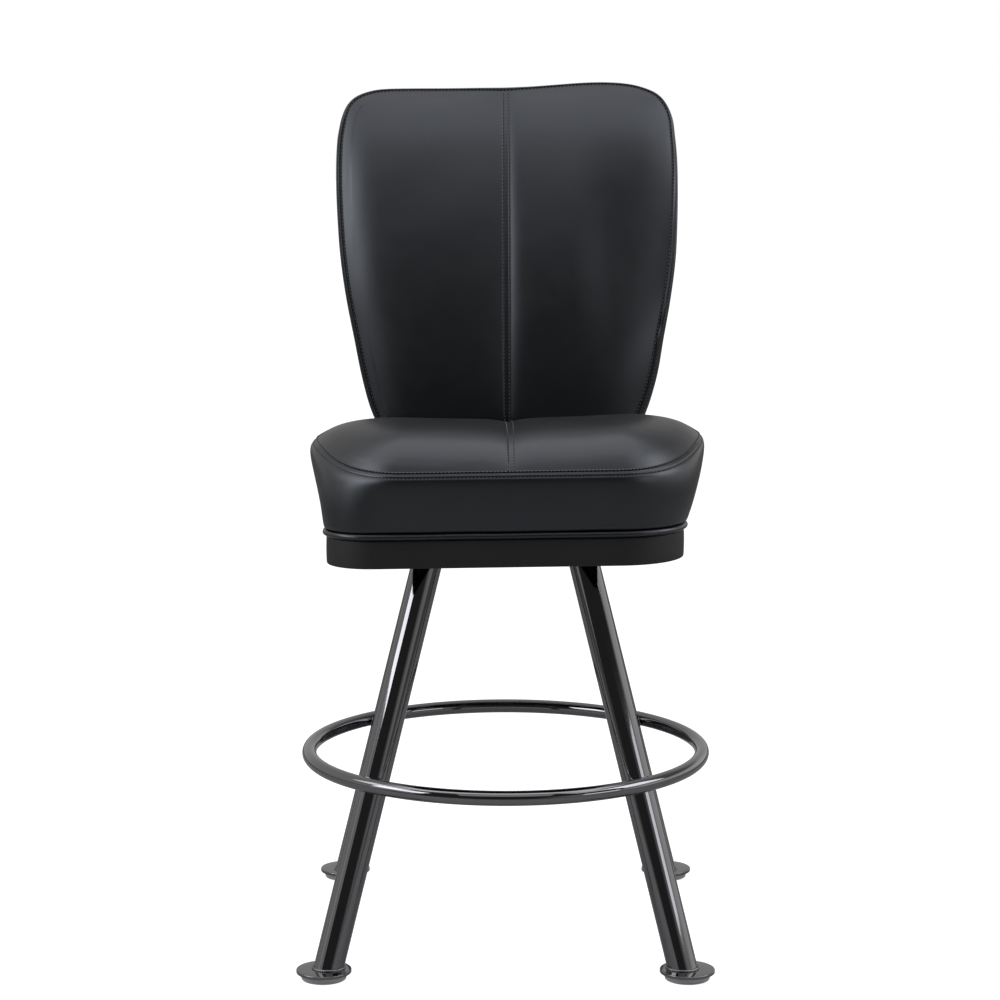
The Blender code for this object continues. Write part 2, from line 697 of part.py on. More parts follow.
# local Z points to the sitter, so outlines run counter-clockwise seen from the front
front_rings = back_front_rings(0.0, BACK_REAR_W - 0.0006)
front_tip = (0.0, 0.46 * BACK_LENGTH, BACK_FRONT_W + BACK_PILLOW)
front_cover = loft("back_front_cover", front_rings, end=front_tip, look=VINYL,
                   parent=back_empty)
shell = front_cover.modifiers.new("thickness", "SOLIDIFY")
shell.thickness = COVER_T
shell.offset = -1.0
shell.use_even_offset = True

foam_front = back_front_rings(FOAM_INSET, BACK_BOARD_W0 - GAP)
loft("back_foam_front", foam_front, start="face",
     end=(0.0, 0.46 * BACK_LENGTH, BACK_FRONT_W + BACK_PILLOW - FOAM_INSET), look=FOAM,
     parent=back_empty)

flat_part("back_board",
          [back_outline(BACK_BOARD_INSET)] + [circle_points(0.0045, 10, p) for p in back_spots],
          -BACK_BOARD_W1, -BACK_BOARD_W0, parent=back_empty, look=PLYWOOD)
flat_part("back_foam_rear",
          [back_outline(0.0060)] + [circle_points(0.0045, 10, p) for p in back_spots],
          -(BACK_REAR_W - GAP), -(BACK_BOARD_W1 + GAP), parent=back_empty, look=FOAM)

rear_outer = BACK_REAR_W + REAR_COVER_T
flat_part("back_rear_cover",
          [back_outline(0.0)] + [circle_points(0.0045, 10, p) for p in back_spots],
          -rear_outer, -BACK_REAR_W, parent=back_empty, look=VINYL)

# ------------------------------------------------------------------ brackets
def bracket_path():
    """Side view of the bracket's inner face: under the board, then up behind the back."""
    axis_y, axis_z = math.sin(BACK_TILT), math.cos(BACK_TILT)
    w = rear_outer + GAP

    def on_back(v):
        return (BACK_Y0 + v * axis_y + w * axis_z, BACK_Z0 + v * axis_z - w * axis_y)

    y1, z1 = on_back(BRACKET_UP)
    y0, z0 = on_back(0.0)
    t = (BRACKET_TOP_Z - z0) / (z1 - z0)
    corner = (y0 + t * (y1 - y0), BRACKET_TOP_Z)
    return fillet_path([(BRACKET_Y0, BRACKET_TOP_Z), corner, (y1, z1)],
                       [0, BRACKET_BEND_R, 0], steps=6)


for side, s in (("left", -1), ("right", 1)):
    bm = bmesh.new()
    rows = []
    for p in bracket_path():
        rows.append([bm.verts.new((s * BRACKET_X + dx, p.x, p.y))
                     for dx in (-BRACKET_WIDTH / 2, BRACKET_WIDTH / 2)])
    for a, b in zip(rows, rows[1:]):
        bm.faces.new((a[0], a[1], b[1], b[0]))
    mesh = bpy.data.meshes.new("back_bracket_" + side)
    bm.to_mesh(mesh)
    bm.free()
    bracket = bpy.data.objects.new("back_bracket_" + side, mesh)
    place(bracket, parts, swivel_empty, part_material("back_bracket_" + side, *BLACK_STEEL))
    bar = bracket.modifiers.new("thickness", "SOLIDIFY")
    bar.thickness = BRACKET_T
    bar.offset = -1.0
    bar.use_even_offset = True
    for i, y in enumerate(SEAT_BOLT_Y):
        hole = cylinder("bracket_%s_seat_hole_%d" % (side, i), 0.0043, 0.545, 0.575,
                        (s * BRACKET_X, y, 0), 12, swivel_empty, cutters)
        boolean(bracket, hole)
    for i, v in enumerate(BACK_BOLT_V):
        hole = cylinder("bracket_%s_back_hole_%d" % (side, i), 0.0043, -0.060, -0.010,
                        (s * BRACKET_X, v, 0), 12, back_empty, cutters)
        boolean(bracket, hole)


def button_bolt(name, x, y, face, tip, parent):
    """A domed socket-head bolt: its head sits at face, its shank ends at tip."""
    pts = [(0.0, tip), (0.0032, tip), (0.0040, tip - 0.0008), (0.0040, face),
           (0.0075, face), (0.0072, face - 0.0022), (0.0050, face - 0.0042),
           (0.0, face - 0.0042)]
    ob = turned(name, pts, 12, (x, y, 0), parent, look=ZINC_STEEL)
    socket = cylinder(name + "_socket", 0.0029, face - 0.0060, face - 0.0020, (x, y, 0), 6,
                      parent, cutters)
    boolean(ob, socket)
    return ob


for side, s in (("left", -1), ("right", 1)):
    for label, y in zip(("inner", "outer"), SEAT_BOLT_Y):
        button_bolt("bracket_bolt_%s_%s" % (side, label), s * BRACKET_X, y,
                    BRACKET_TOP_Z - BRACKET_T - GAP, 0.5790, swivel_empty)
    for label, v in zip(("lower", "upper"), BACK_BOLT_V):
        button_bolt("back_bolt_%s_%s" % (side, label), s * BRACKET_X, v,
                    -(rear_outer + GAP + BRACKET_T + GAP), -(BACK_BOARD_W0 + 0.0012),
                    back_empty)
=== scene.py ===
import json
import math

import bmesh
import bpy
import numpy as np
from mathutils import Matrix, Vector

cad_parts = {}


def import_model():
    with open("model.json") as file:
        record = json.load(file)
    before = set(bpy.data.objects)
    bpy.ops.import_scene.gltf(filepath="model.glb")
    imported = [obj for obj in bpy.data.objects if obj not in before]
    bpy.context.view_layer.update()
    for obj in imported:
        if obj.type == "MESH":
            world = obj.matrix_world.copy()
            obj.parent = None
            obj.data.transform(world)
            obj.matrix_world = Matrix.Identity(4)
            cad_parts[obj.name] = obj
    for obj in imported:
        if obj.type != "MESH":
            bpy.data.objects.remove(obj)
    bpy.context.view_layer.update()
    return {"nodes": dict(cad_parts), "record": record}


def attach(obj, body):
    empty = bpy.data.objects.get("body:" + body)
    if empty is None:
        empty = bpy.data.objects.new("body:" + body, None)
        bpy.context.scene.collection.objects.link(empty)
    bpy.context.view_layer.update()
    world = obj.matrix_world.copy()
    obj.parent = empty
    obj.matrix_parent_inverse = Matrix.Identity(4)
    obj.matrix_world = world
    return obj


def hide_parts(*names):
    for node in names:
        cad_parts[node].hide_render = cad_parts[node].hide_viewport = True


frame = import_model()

scene = bpy.context.scene
scene.view_settings.view_transform = "Standard"
scene.view_settings.look = "None"
scene.view_settings.exposure = 0.0
scene.view_settings.gamma = 1.0

# --------------------------------------------------------------- dimensions (metres)
SWIVEL_Y = -0.0426

FOOT_POS = 0.230
LEG_R, LEG_WALL = 0.01905, 0.0020
LEG_S0, LEG_SLOPE = 0.22721, 0.2479
LEG_Z0, LEG_Z1 = 0.0128, 0.5377
DISC_R, DISC_Z0, DISC_Z1 = 0.0350, 0.0085, 0.0125
GLIDE_R_TOP, GLIDE_R_BOTTOM = 0.0305, 0.0270
RING_R, RING_TUBE_R, RING_Z = 0.2620, 0.009525, 0.2420

PAN_Z0, PAN_SHOULDER_Z, PAN_TOP_Z, PAN_WALL = 0.5270, 0.5623, 0.5663, 0.0040
PAN_OPENING_R = 0.1300
PAN_HALF_W, PAN_FRONT, PAN_REAR = 0.2255, -0.2300, 0.2050
SEAT_TAPER = 0.020
CORNER_FRONT_LEFT, CORNER_FRONT_RIGHT, CORNER_REAR = 0.062, 0.080, 0.062
SKIRT_HALF = 0.2258
WELT_R, WELT_Z = 0.0042, 0.5670
COVER_Z0, CROWN_Z = 0.5715, 0.7015
SEAM_Z_FRONT, SEAM_RISE, SEAM_REAR_DROP = 0.6459, 0.0216, 0.0130
SEAM_HALF_LEFT, SEAM_HALF_RIGHT = 0.2472, 0.2525
SEAM_FRONT, SEAM_REAR = -0.2466, 0.2100
SEAM_CORNER_LEFT, SEAM_CORNER_RIGHT = (0.122, 0.215), (0.112, 0.200)
SEAM_CORNER_REAR = (0.095, 0.095)
SEAT_CENTRE_Y = -0.045
SEAT_SHEAR = 0.0148              # the upholstery sits a little lower on the left

BACK_TILT = math.radians(9.0)
BACK_Y0, BACK_Z0, BACK_LENGTH = 0.2460, 0.6000, 0.5225
BACK_REAR_FACE = 0.0302

BRACKET_X, BRACKET_WIDTH, BRACKET_T = 0.0850, 0.0450, 0.0060
BRACKET_TOP_Z, BRACKET_Y0, BRACKET_UP, BRACKET_BEND_R = 0.5620, 0.0980, 0.1650, 0.0100
SEAT_BOLT_Y = (0.1180, 0.1750)
BACK_BOLT_V = (0.0750, 0.1350)
GAP = 0.0003

CORNERS = {"front_left": (-1, -1), "front_right": (1, -1),
           "rear_left": (-1, 1), "rear_right": (1, 1)}


# --------------------------------------------------------------- camera
cam_data = bpy.data.cameras.new("photo_camera")
cam_data.sensor_width = 36.0
cam_data.lens = 96.36
cam_data.shift_x = -0.0056
cam_data.clip_start, cam_data.clip_end = 0.05, 200.0
camera = bpy.data.objects.new("photo_camera", cam_data)
camera.location = (0.0, SWIVEL_Y - 3.4984, 1.0851)
camera.rotation_euler = (math.radians(90.0 - 8.24), 0.0, 0.0)
scene.collection.objects.link(camera)
scene.camera = camera


# --------------------------------------------------------------- material helpers
def material(name):
    mat = bpy.data.materials.new(name)
    mat.use_nodes = True
    tree = mat.node_tree
    tree.nodes.clear()
    out = tree.nodes.new("ShaderNodeOutputMaterial")
    shader = tree.nodes.new("ShaderNodeBsdfPrincipled")
    tree.links.new(shader.outputs["BSDF"], out.inputs["Surface"])
    coord = tree.nodes.new("ShaderNodeTexCoord")
    return mat, tree, shader, coord.outputs["Object"]


def noise(tree, vector, scale, detail=3.0, rough=0.55, stretch=None, distort=0.0):
    if stretch is not None:
        mapping = tree.nodes.new("ShaderNodeMapping")
        mapping.inputs["Scale"].default_value = stretch
        tree.links.new(vector, mapping.inputs["Vector"])
        vector = mapping.outputs["Vector"]
    node = tree.nodes.new("ShaderNodeTexNoise")
    node.inputs["Scale"].default_value = scale
    node.inputs["Detail"].default_value = detail
    node.inputs["Roughness"].default_value = rough
    node.inputs["Distortion"].default_value = distort
    tree.links.new(vector, node.inputs["Vector"])
    return node.outputs["Fac"]


def voronoi(tree, vector, scale, feature="DISTANCE_TO_EDGE"):
    node = tree.nodes.new("ShaderNodeTexVoronoi")
    node.feature = feature
    node.inputs["Scale"].default_value = scale
    tree.links.new(vector, node.inputs["Vector"])
    return node.outputs["Distance"]


def remap(tree, value, low, high, to_low, to_high, smooth=False):
    node = tree.nodes.new("ShaderNodeMapRange")
    if smooth:
        node.interpolation_type = "SMOOTHSTEP"
    node.inputs["From Min"].default_value = low
    node.inputs["From Max"].default_value = high
    node.inputs["To Min"].default_value = to_low
    node.inputs["To Max"].default_value = to_high
    tree.links.new(value, node.inputs["Value"])
    return node.outputs["Result"]


def maths(tree, operation, a, b, clamp=False):
    node = tree.nodes.new("ShaderNodeMath")
    node.operation = operation
    node.use_clamp = clamp
    for socket, value in zip(node.inputs, (a, b)):
        if isinstance(value, (int, float)):
            socket.default_value = value
        else:
            tree.links.new(value, socket)
    return node.outputs["Value"]


def two_tone(tree, factor, dark, light):
    node = tree.nodes.new("ShaderNodeMix")
    node.data_type = "RGBA"
    node.inputs["A"].default_value = (*dark, 1.0)
    node.inputs["B"].default_value = (*light, 1.0)
    tree.links.new(factor, node.inputs["Factor"])
    return node.outputs["Result"]


def bump(tree, shader, height, strength, distance, under=None):
    node = tree.nodes.new("ShaderNodeBump")
    node.inputs["Strength"].default_value = strength
    node.inputs["Distance"].default_value = distance
    tree.links.new(height, node.inputs["Height"])
    if under is not None:
        tree.links.new(under, node.inputs["Normal"])
    if shader is not None:
        tree.links.new(node.outputs["Normal"], shader.inputs["Normal"])
    return node.outputs["Normal"]


def vinyl(name, dark, light, roughness, grain=0.10, specular=0.75):
    """Smooth upholstery vinyl: a very fine leather grain, soft changes of gloss."""
    mat, tree, shader, at = material(name)
    cloud = noise(tree, at, 9.0, 4.0)
    tree.links.new(two_tone(tree, remap(tree, cloud, 0.3, 0.7, 0.0, 1.0), dark, light),
                   shader.inputs["Base Color"])
    rub = noise(tree, at, 38.0, 3.0)
    gloss = maths(tree, "MULTIPLY_ADD", rub, 0.10)
    gloss.node.inputs[2].default_value = roughness - 0.05
    tree.links.new(gloss, shader.inputs["Roughness"])
    shader.inputs["Specular IOR Level"].default_value = specular
    shader.inputs["Specular Tint"].default_value = (0.87, 0.91, 1.0, 1.0)
    pebbles = remap(tree, voronoi(tree, at, 620.0), 0.0, 0.35, 0.0, 1.0, smooth=True)
    pores = noise(tree, at, 1500.0, 2.0)
    height = maths(tree, "MULTIPLY_ADD", pores, 0.35)
    tree.links.new(pebbles, height.node.inputs[2])
    fine = bump(tree, None, height, grain, 0.00010)
    soft = noise(tree, at, 55.0, 2.0)
    bump(tree, shader, soft, 0.10, 0.0006, under=fine)
    return mat


def chrome(name, tint, roughness):
    """Polished black chrome over drawn tube: almost a mirror, with faint drawing lines."""
    mat, tree, shader, at = material(name)
    shader.inputs["Metallic"].default_value = 1.0
    cloud = noise(tree, at, 14.0, 3.0)
    tree.links.new(two_tone(tree, cloud, tuple(c * 0.93 for c in tint),
                            tuple(c * 1.07 for c in tint)), shader.inputs["Base Color"])
    smear = noise(tree, at, 60.0, 4.0)
    gloss = maths(tree, "MULTIPLY_ADD", smear, 0.05)
    gloss.node.inputs[2].default_value = roughness - 0.025
    tree.links.new(gloss, shader.inputs["Roughness"])
    ripple = noise(tree, at, 30.0, 2.0, stretch=(6.0, 6.0, 0.5))
    bump(tree, shader, ripple, 0.05, 0.0003)
    return mat


def painted(name, dark, light, roughness, scale=260.0, strength=0.12):
    """Powder-coated or moulded surface with a fine orange peel."""
    mat, tree, shader, at = material(name)
    cloud = noise(tree, at, 16.0, 4.0)
    tree.links.new(two_tone(tree, remap(tree, cloud, 0.3, 0.7, 0.0, 1.0), dark, light),
                   shader.inputs["Base Color"])
    gloss = maths(tree, "MULTIPLY_ADD", noise(tree, at, 45.0, 3.0), 0.12)
    gloss.node.inputs[2].default_value = roughness - 0.06
    tree.links.new(gloss, shader.inputs["Roughness"])
    peel = noise(tree, at, scale, 3.0)
    bump(tree, shader, peel, strength, 0.0004)
    return mat


def plated(name, colour, roughness):
    """Zinc-plated steel, slightly clouded, with fine scratches."""
    mat, tree, shader, at = material(name)
    shader.inputs["Metallic"].default_value = 1.0
    cloud = noise(tree, at, 40.0, 4.0)
    tree.links.new(two_tone(tree, cloud, tuple(c * 0.72 for c in colour), colour),
                   shader.inputs["Base Color"])
    gloss = maths(tree, "MULTIPLY_ADD", noise(tree, at, 90.0, 4.0), 0.22)
    gloss.node.inputs[2].default_value = roughness - 0.11
    tree.links.new(gloss, shader.inputs["Roughness"])
    lines = noise(tree, at, 220.0, 2.0, stretch=(1.0, 14.0, 1.0))
    bump(tree, shader, lines, 0.15, 0.0002)
    return mat


def nylon(name, dark, light):
    mat, tree, shader, at = material(name)
    cloud = noise(tree, at, 120.0, 4.0)
    tree.links.new(two_tone(tree, cloud, dark, light), shader.inputs["Base Color"])
    gloss = maths(tree, "MULTIPLY_ADD", noise(tree, at, 300.0, 3.0), 0.16)
    gloss.node.inputs[2].default_value = 0.40
    tree.links.new(gloss, shader.inputs["Roughness"])
    scuff = noise(tree, at, 500.0, 4.0)
    bump(tree, shader, scuff, 0.2, 0.0003)
    return mat


def plywood(name):
    mat, tree, shader, at = material(name)
    rings = noise(tree, at, 26.0, 5.0, stretch=(0.6, 6.0, 6.0), distort=1.2)
    plies = tree.nodes.new("ShaderNodeTexWave")
    plies.bands_direction = "Z"
    plies.inputs["Scale"].default_value = 170.0
    plies.inputs["Distortion"].default_value = 0.6
    tree.links.new(at, plies.inputs["Vector"])
    blend = maths(tree, "MULTIPLY_ADD", plies.outputs["Fac"], 0.25)
    tree.links.new(rings, blend.node.inputs[2])
    tree.links.new(two_tone(tree, remap(tree, blend, 0.3, 0.9, 0.0, 1.0),
                            (0.33, 0.20, 0.10), (0.62, 0.44, 0.26)),
                   shader.inputs["Base Color"])
    shader.inputs["Roughness"].default_value = 0.72
    bump(tree, shader, rings, 0.3, 0.0004)
    return mat


def open_foam(name):
    mat, tree, shader, at = material(name)
    cells = voronoi(tree, at, 700.0, "F1")
    tree.links.new(two_tone(tree, cells, (0.55, 0.50, 0.36), (0.82, 0.77, 0.60)),
                   shader.inputs["Base Color"])
    shader.inputs["Roughness"].default_value = 0.95
    bump(tree, shader, cells, 0.6, 0.0008)
    return mat


VINYL = vinyl("black_vinyl", (0.0019, 0.0019, 0.0020), (0.0030, 0.0030, 0.0032), 0.37)
VINYL_WELT = vinyl("welt_vinyl", (0.0050, 0.0050, 0.0054), (0.0075, 0.0075, 0.0080), 0.30,
                   grain=0.06)
# black thread given a dark grey, far lighter than the vinyl: painted highlight for the bright dots
# along the stitch rows
THREAD_PAINTED_HIGHLIGHT = vinyl("thread_painted_highlight", (0.0560, 0.0560, 0.0570), (0.0740, 0.0740, 0.0750), 0.42,
               grain=0.05, specular=0.50)
# needle holes: near-black, matte and barely reflecting, painted shade for the shadow inside each
# hole
PIT_PAINTED_SHADE = vinyl("needle_hole_painted_shade", (0.0010, 0.0010, 0.0010), (0.0015, 0.0015, 0.0015), 0.95,
            grain=0.02, specular=0.05)
CHROME = chrome("black_chrome", (0.210, 0.208, 0.218), 0.060)
TRAY = painted("tray_plastic", (0.0060, 0.0060, 0.0066), (0.0085, 0.0085, 0.0092), 0.60)
BLACK_STEEL = painted("black_steel", (0.010, 0.010, 0.010), (0.017, 0.017, 0.017), 0.45,
                      scale=420.0, strength=0.25)
FASTENER = painted("black_fastener", (0.014, 0.014, 0.015), (0.022, 0.022, 0.023), 0.38,
                   scale=600.0, strength=0.08)
ZINC = plated("zinc_steel", (0.58, 0.58, 0.60), 0.36)
NYLON = nylon("grey_nylon", (0.50, 0.50, 0.51), (0.60, 0.60, 0.61))
PLY = plywood("plywood")
FOAM = open_foam("foam")

BY_SLOT = {"black_chrome": CHROME, "black_steel": BLACK_STEEL, "zinc_steel": ZINC,
           "black_fastener": FASTENER, "grey_nylon": NYLON, "vinyl": VINYL,
           "welt_vinyl": VINYL_WELT, "pan_plastic": TRAY, "foam": FOAM, "plywood": PLY}
for part in frame["record"]["subparts"]:
    node = frame["nodes"][part["node"]]
    node.data.materials.clear()
    node.data.materials.append(BY_SLOT[part["material_slot"]])


# --------------------------------------------------------------- mesh helpers
def add_mesh(name, verts, faces, mat, body, replaces=(), smooth=True, angle=None):
    mesh = bpy.data.meshes.new(name)
    mesh.from_pydata([tuple(float(c) for c in v) for v in verts], [],
                     [tuple(int(i) for i in f) for f in faces])
    bm = bmesh.new()
    bm.from_mesh(mesh)
    bmesh.ops.recalc_face_normals(bm, faces=bm.faces)
    bm.to_mesh(mesh)
    bm.free()
    if smooth:
        mesh.shade_smooth()
        if angle is not None:
            mesh.set_sharp_from_angle(angle=math.radians(angle))
    mesh.materials.append(mat)
    ob = bpy.data.objects.new(name, mesh)
    scene.collection.objects.link(ob)
    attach(ob, body)
    if replaces:
        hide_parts(*replaces)
    return ob


def ring_faces(a, b):
    n = len(a)
    return [(a[i], a[(i + 1) % n], b[(i + 1) % n], b[i]) for i in range(n)]


def lathe(profile, steps, centre, closed=False):
    """Turned shape about a vertical axis; profile runs in (radius, z)."""
    verts, rows, faces = [], [], []
    for r, z in profile:
        if r < 1e-7:
            rows.append([len(verts)] * steps)
            verts.append((centre[0], centre[1], z + centre[2]))
            continue
        rows.append(list(range(len(verts), len(verts) + steps)))
        for i in range(steps):
            a = 2 * math.pi * i / steps
            verts.append((centre[0] + r * math.cos(a), centre[1] + r * math.sin(a),
                          z + centre[2]))
    pairs = list(zip(rows, rows[1:])) + ([(rows[-1], rows[0])] if closed else [])
    for a, b in pairs:
        for f in ring_faces(a, b):
            f = tuple(dict.fromkeys(f))
            if len(f) >= 3:
                faces.append(f)
    return verts, faces


def arc(cx, cz, r, a0, a1, n):
    return [(cx + r * math.cos(math.radians(a0 + (a1 - a0) * i / n)),
             cz + r * math.sin(math.radians(a0 + (a1 - a0) * i / n))) for i in range(n + 1)]


def unit(v):
    return v / np.maximum(np.linalg.norm(v, axis=-1, keepdims=True), 1e-12)


def sweep(path, across, up, section, closed=True, caps=False):
    """Tube of the given closed section along a path of points with frame vectors."""
    path, across, up = (np.asarray(a, float) for a in (path, across, up))
    if section.ndim == 2:
        section = np.broadcast_to(section, (len(path),) + section.shape)
    verts = (path[:, None] + section[..., :1] * across[:, None]
             + section[..., 1:] * up[:, None]).reshape(-1, 3)
    m = section.shape[1]
    faces = []
    for i in range(len(path) if closed else len(path) - 1):
        j = (i + 1) % len(path)
        for k in range(m):
            l = (k + 1) % m
            faces.append((i * m + k, i * m + l, j * m + l, j * m + k))
    if caps:
        faces.append(tuple(range(m)))
        faces.append(tuple((len(path) - 1) * m + k for k in range(m)))
    return verts, faces


def circle(r, n, squash=1.0):
    a = np.arange(n) * 2 * math.pi / n
    return np.stack([r * np.cos(a), r * squash * np.sin(a)], 1)


# --------------------------------------------------------------- base: legs and welds
def leg_axis(sx, sy, z):
    s = LEG_S0 - LEG_SLOPE * z
    return np.array([sx * s, SWIVEL_Y + sy * s, z])


def leg_frame(sx, sy):
    d = unit(np.array([-sx * LEG_SLOPE, -sy * LEG_SLOPE, 1.0]))
    e1 = unit(np.cross(d, [0.0, 0.0, 1.0]))
    return d, e1, np.cross(d, e1)


def leg_loop(sx, sy, radius, z, n):
    """Where a tube of that radius round the leg's axis meets the level z."""
    d, e1, e2 = leg_frame(sx, sy)
    a = np.arange(n) * 2 * math.pi / n
    p = leg_axis(sx, sy, z) + radius * (np.cos(a)[:, None] * e1 + np.sin(a)[:, None] * e2)
    return p + ((z - p[:, 2]) / d[2])[:, None] * d


for corner, (sx, sy) in CORNERS.items():
    n, rows = 96, 28
    rings, wall = [], LEG_WALL
    for k in range(rows + 1):
        z = LEG_Z0 + (LEG_Z1 - LEG_Z0) * k / rows
        rings.append(leg_loop(sx, sy, LEG_R, z, n))
    inner = [leg_loop(sx, sy, LEG_R - wall, LEG_Z1 - (LEG_Z1 - LEG_Z0) * k / 4, n)
             for k in range(5)]
    verts = np.concatenate(rings + inner)
    idx = [list(range(i * n, i * n + n)) for i in range(len(rings) + len(inner))]
    faces = []
    for a, b in list(zip(idx, idx[1:])) + [(idx[-1], idx[0])]:
        faces += ring_faces(a, b)
    add_mesh("leg_tube_" + corner, verts, faces, CHROME, "base",
             ["leg_" + corner], angle=40)

    # fillet weld where the leg stands on its disc: overlapping ripples
    m = 360
    loop = leg_loop(sx, sy, LEG_R, DISC_Z1 + 0.0006, m)
    centre = leg_axis(sx, sy, DISC_Z1 + 0.0006)
    out = loop - centre
    out[:, 2] = 0.0
    out = unit(out)
    t = np.arange(m) / m
    swell = 0.5 + 0.5 * np.cos(2 * math.pi * 62 * t)
    r = 0.00175 + 0.00022 * swell + 0.00012 * np.sin(2 * math.pi * 3 * t + sx + 2 * sy)
    sec = circle(1.0, 14)[None] * r[:, None, None]
    verts, faces = sweep(loop + out * 0.0003, out, np.tile([0.0, 0.0, 1.0], (m, 1)), sec)
    add_mesh("foot_weld_" + corner, verts, faces, CHROME, "base")

# foot ring
verts, faces = [], []
N, M = 384, 40
a = np.arange(N) * 2 * math.pi / N
out = np.stack([np.cos(a), np.sin(a), 0 * a], 1)
path = out * RING_R + np.array([0.0, SWIVEL_Y, RING_Z])
verts, faces = sweep(path, out, np.tile([0.0, 0.0, 1.0], (N, 1)), circle(RING_TUBE_R, M))
add_mesh("foot_ring_tube", verts, faces, CHROME, "base", ["foot_ring"])

# small fillet welds round each place where the ring lies against a leg
for corner, (sx, sy) in CORNERS.items():
    d, e1, e2 = leg_frame(sx, sy)
    base_phi = math.atan2(sy, sx)

    def on_ring(phi, psi):
        rr = RING_R - RING_TUBE_R * math.cos(psi)
        return np.array([rr * math.cos(phi), SWIVEL_Y + rr * math.sin(phi),
                         RING_Z + RING_TUBE_R * math.sin(psi)])

    def gap_to_leg(p):
        q = p - leg_axis(sx, sy, 0.0)
        return np.linalg.norm(q - np.dot(q, d) * d) - LEG_R

    best = min(((gap_to_leg(on_ring(base_phi, s)), s) for s in np.linspace(-1.2, 1.2, 61)))[1]
    pts, m = [], 96
    for k in range(m):
        th = 2 * math.pi * k / m
        lo, hi = 0.0, 1.0
        for _ in range(30):
            mid = (lo + hi) / 2
            p = on_ring(base_phi + 0.11 * mid * math.cos(th), best + 1.5 * mid * math.sin(th))
            if gap_to_leg(p) < 0:
                lo = mid
            else:
                hi = mid
        pts.append(on_ring(base_phi + 0.11 * lo * math.cos(th),
                           best + 1.5 * lo * math.sin(th)))
    pts = np.array(pts)
    tangent = unit(np.roll(pts, -1, 0) - np.roll(pts, 1, 0))
    mid = pts.mean(0)
    out = unit(pts - mid - np.sum((pts - mid) * tangent, 1, keepdims=True) * tangent)
    up = np.cross(tangent, out)
    r = 0.00135 + 0.00018 * np.cos(2 * math.pi * 24 * np.arange(m) / m)
    verts, faces = sweep(pts, out, up, circle(1.0, 10)[None] * r[:, None, None])
    add_mesh("ring_weld_" + corner, verts, faces, CHROME, "base")

# feet
for corner, (sx, sy) in CORNERS.items():
    at = (sx * FOOT_POS, SWIVEL_Y + sy * FOOT_POS, 0.0)
    hole = 0.0043
    prof = ([(hole, DISC_Z1), (0.020, DISC_Z1)]
            + arc(DISC_R - 0.0011, DISC_Z1 - 0.0011, 0.0011, 90, 0, 6)
            + arc(DISC_R - 0.0006, DISC_Z0 + 0.0006, 0.0006, 0, -90, 4)
            + [(0.020, DISC_Z0), (hole, DISC_Z0)])
    verts, faces = lathe(prof, 128, at, closed=True)
    add_mesh("foot_plate_" + corner, verts, faces, CHROME, "base",
             ["foot_disc_" + corner], angle=40)
    top = DISC_Z0 - GAP
    prof = ([(0.0, 0.0190), (0.0036, 0.0190), (0.0040, 0.0184), (0.0040, top),
             (GLIDE_R_TOP - 0.0006, top)]
            + arc(GLIDE_R_TOP - 0.0006, top - 0.0006, 0.0006, 90, 0, 3)
            + [(GLIDE_R_TOP - 0.0001, top - 0.0020), (GLIDE_R_TOP - 0.0008, top - 0.0038),
               (GLIDE_R_TOP - 0.0020, top - 0.0056)]
            + arc(GLIDE_R_BOTTOM + 0.0002, 0.0012, 0.0012, -10, -90, 5)
            + [(GLIDE_R_BOTTOM - 0.006, 0.0), (0.0, 0.0)])
    verts, faces = lathe(prof, 96, at)
    add_mesh("glide_foot_" + corner, verts, faces, NYLON, "base",
             ["glide_" + corner], angle=50)


# --------------------------------------------------------------- outlines
def fillet_path(points, radii, steps=40):
    out = [np.array(points[0], float)]
    for i in range(1, len(points) - 1):
        p, a, b = (np.array(q, float) for q in (points[i], points[i - 1], points[i + 1]))
        r = radii[i]
        da, db = unit(a - p), unit(b - p)
        turn = math.pi - math.acos(max(-1.0, min(1.0, float(np.dot(da, db)))))
        if r <= 0 or turn < 1e-4:
            out.append(p)
            continue
        reach = r * math.tan(turn / 2)
        centre = p + unit(da + db) * (r / math.cos(turn / 2))
        s, e = p + da * reach - centre, p + db * reach - centre
        for k in range(steps + 1):
            t = k / steps
            out.append(centre + (s * math.sin((1 - t) * turn) + e * math.sin(t * turn))
                       / math.sin(turn))
    out.append(np.array(points[-1], float))
    return np.array(out)


def dense_loop(loop, count=4000, smooth=0):
    """Evenly spaced points round a closed polyline, optionally smoothed."""
    p = np.vstack([loop, loop[:1]])
    s = np.concatenate([[0.0], np.cumsum(np.linalg.norm(np.diff(p, axis=0), axis=1))])
    t = np.linspace(0.0, s[-1], count, endpoint=False)
    q = np.stack([np.interp(t, s, p[:, k]) for k in range(p.shape[1])], 1)
    if smooth:
        kernel = np.hanning(2 * smooth + 3)[1:-1]
        kernel /= kernel.sum()
        wide = np.vstack([q[-smooth:], q, q[:smooth]])
        q = np.stack([np.convolve(wide[:, k], kernel, "valid") for k in range(q.shape[1])], 1)
    return q


def loop_normals(q):
    """Outward normals of a counter-clockwise loop."""
    t = unit(np.roll(q, -1, 0) - np.roll(q, 1, 0))
    return np.stack([t[:, 1], -t[:, 0]], 1)


def rounded_plan(half_left, half_right, front, rear, r_left, r_right, r_rear, smooth):
    """Plan outline, counter-clockwise from the middle of its front edge.  The half widths
    are those where the front corners end; from there it narrows towards the rear."""
    wl = half_left + SEAT_TAPER * r_left / (rear - front)
    wr = half_right + SEAT_TAPER * r_right / (rear - front)
    right = fillet_path([(0, front), (wr, front), (wr - SEAT_TAPER, rear), (0, rear)],
                        [0, r_right, r_rear, 0])
    left = fillet_path([(0, rear), (-wl + SEAT_TAPER, rear), (-wl, front), (0, front)],
                       [0, r_rear, r_left, 0])
    return dense_loop(np.vstack([right[:-1], left[:-1]]), smooth=smooth)


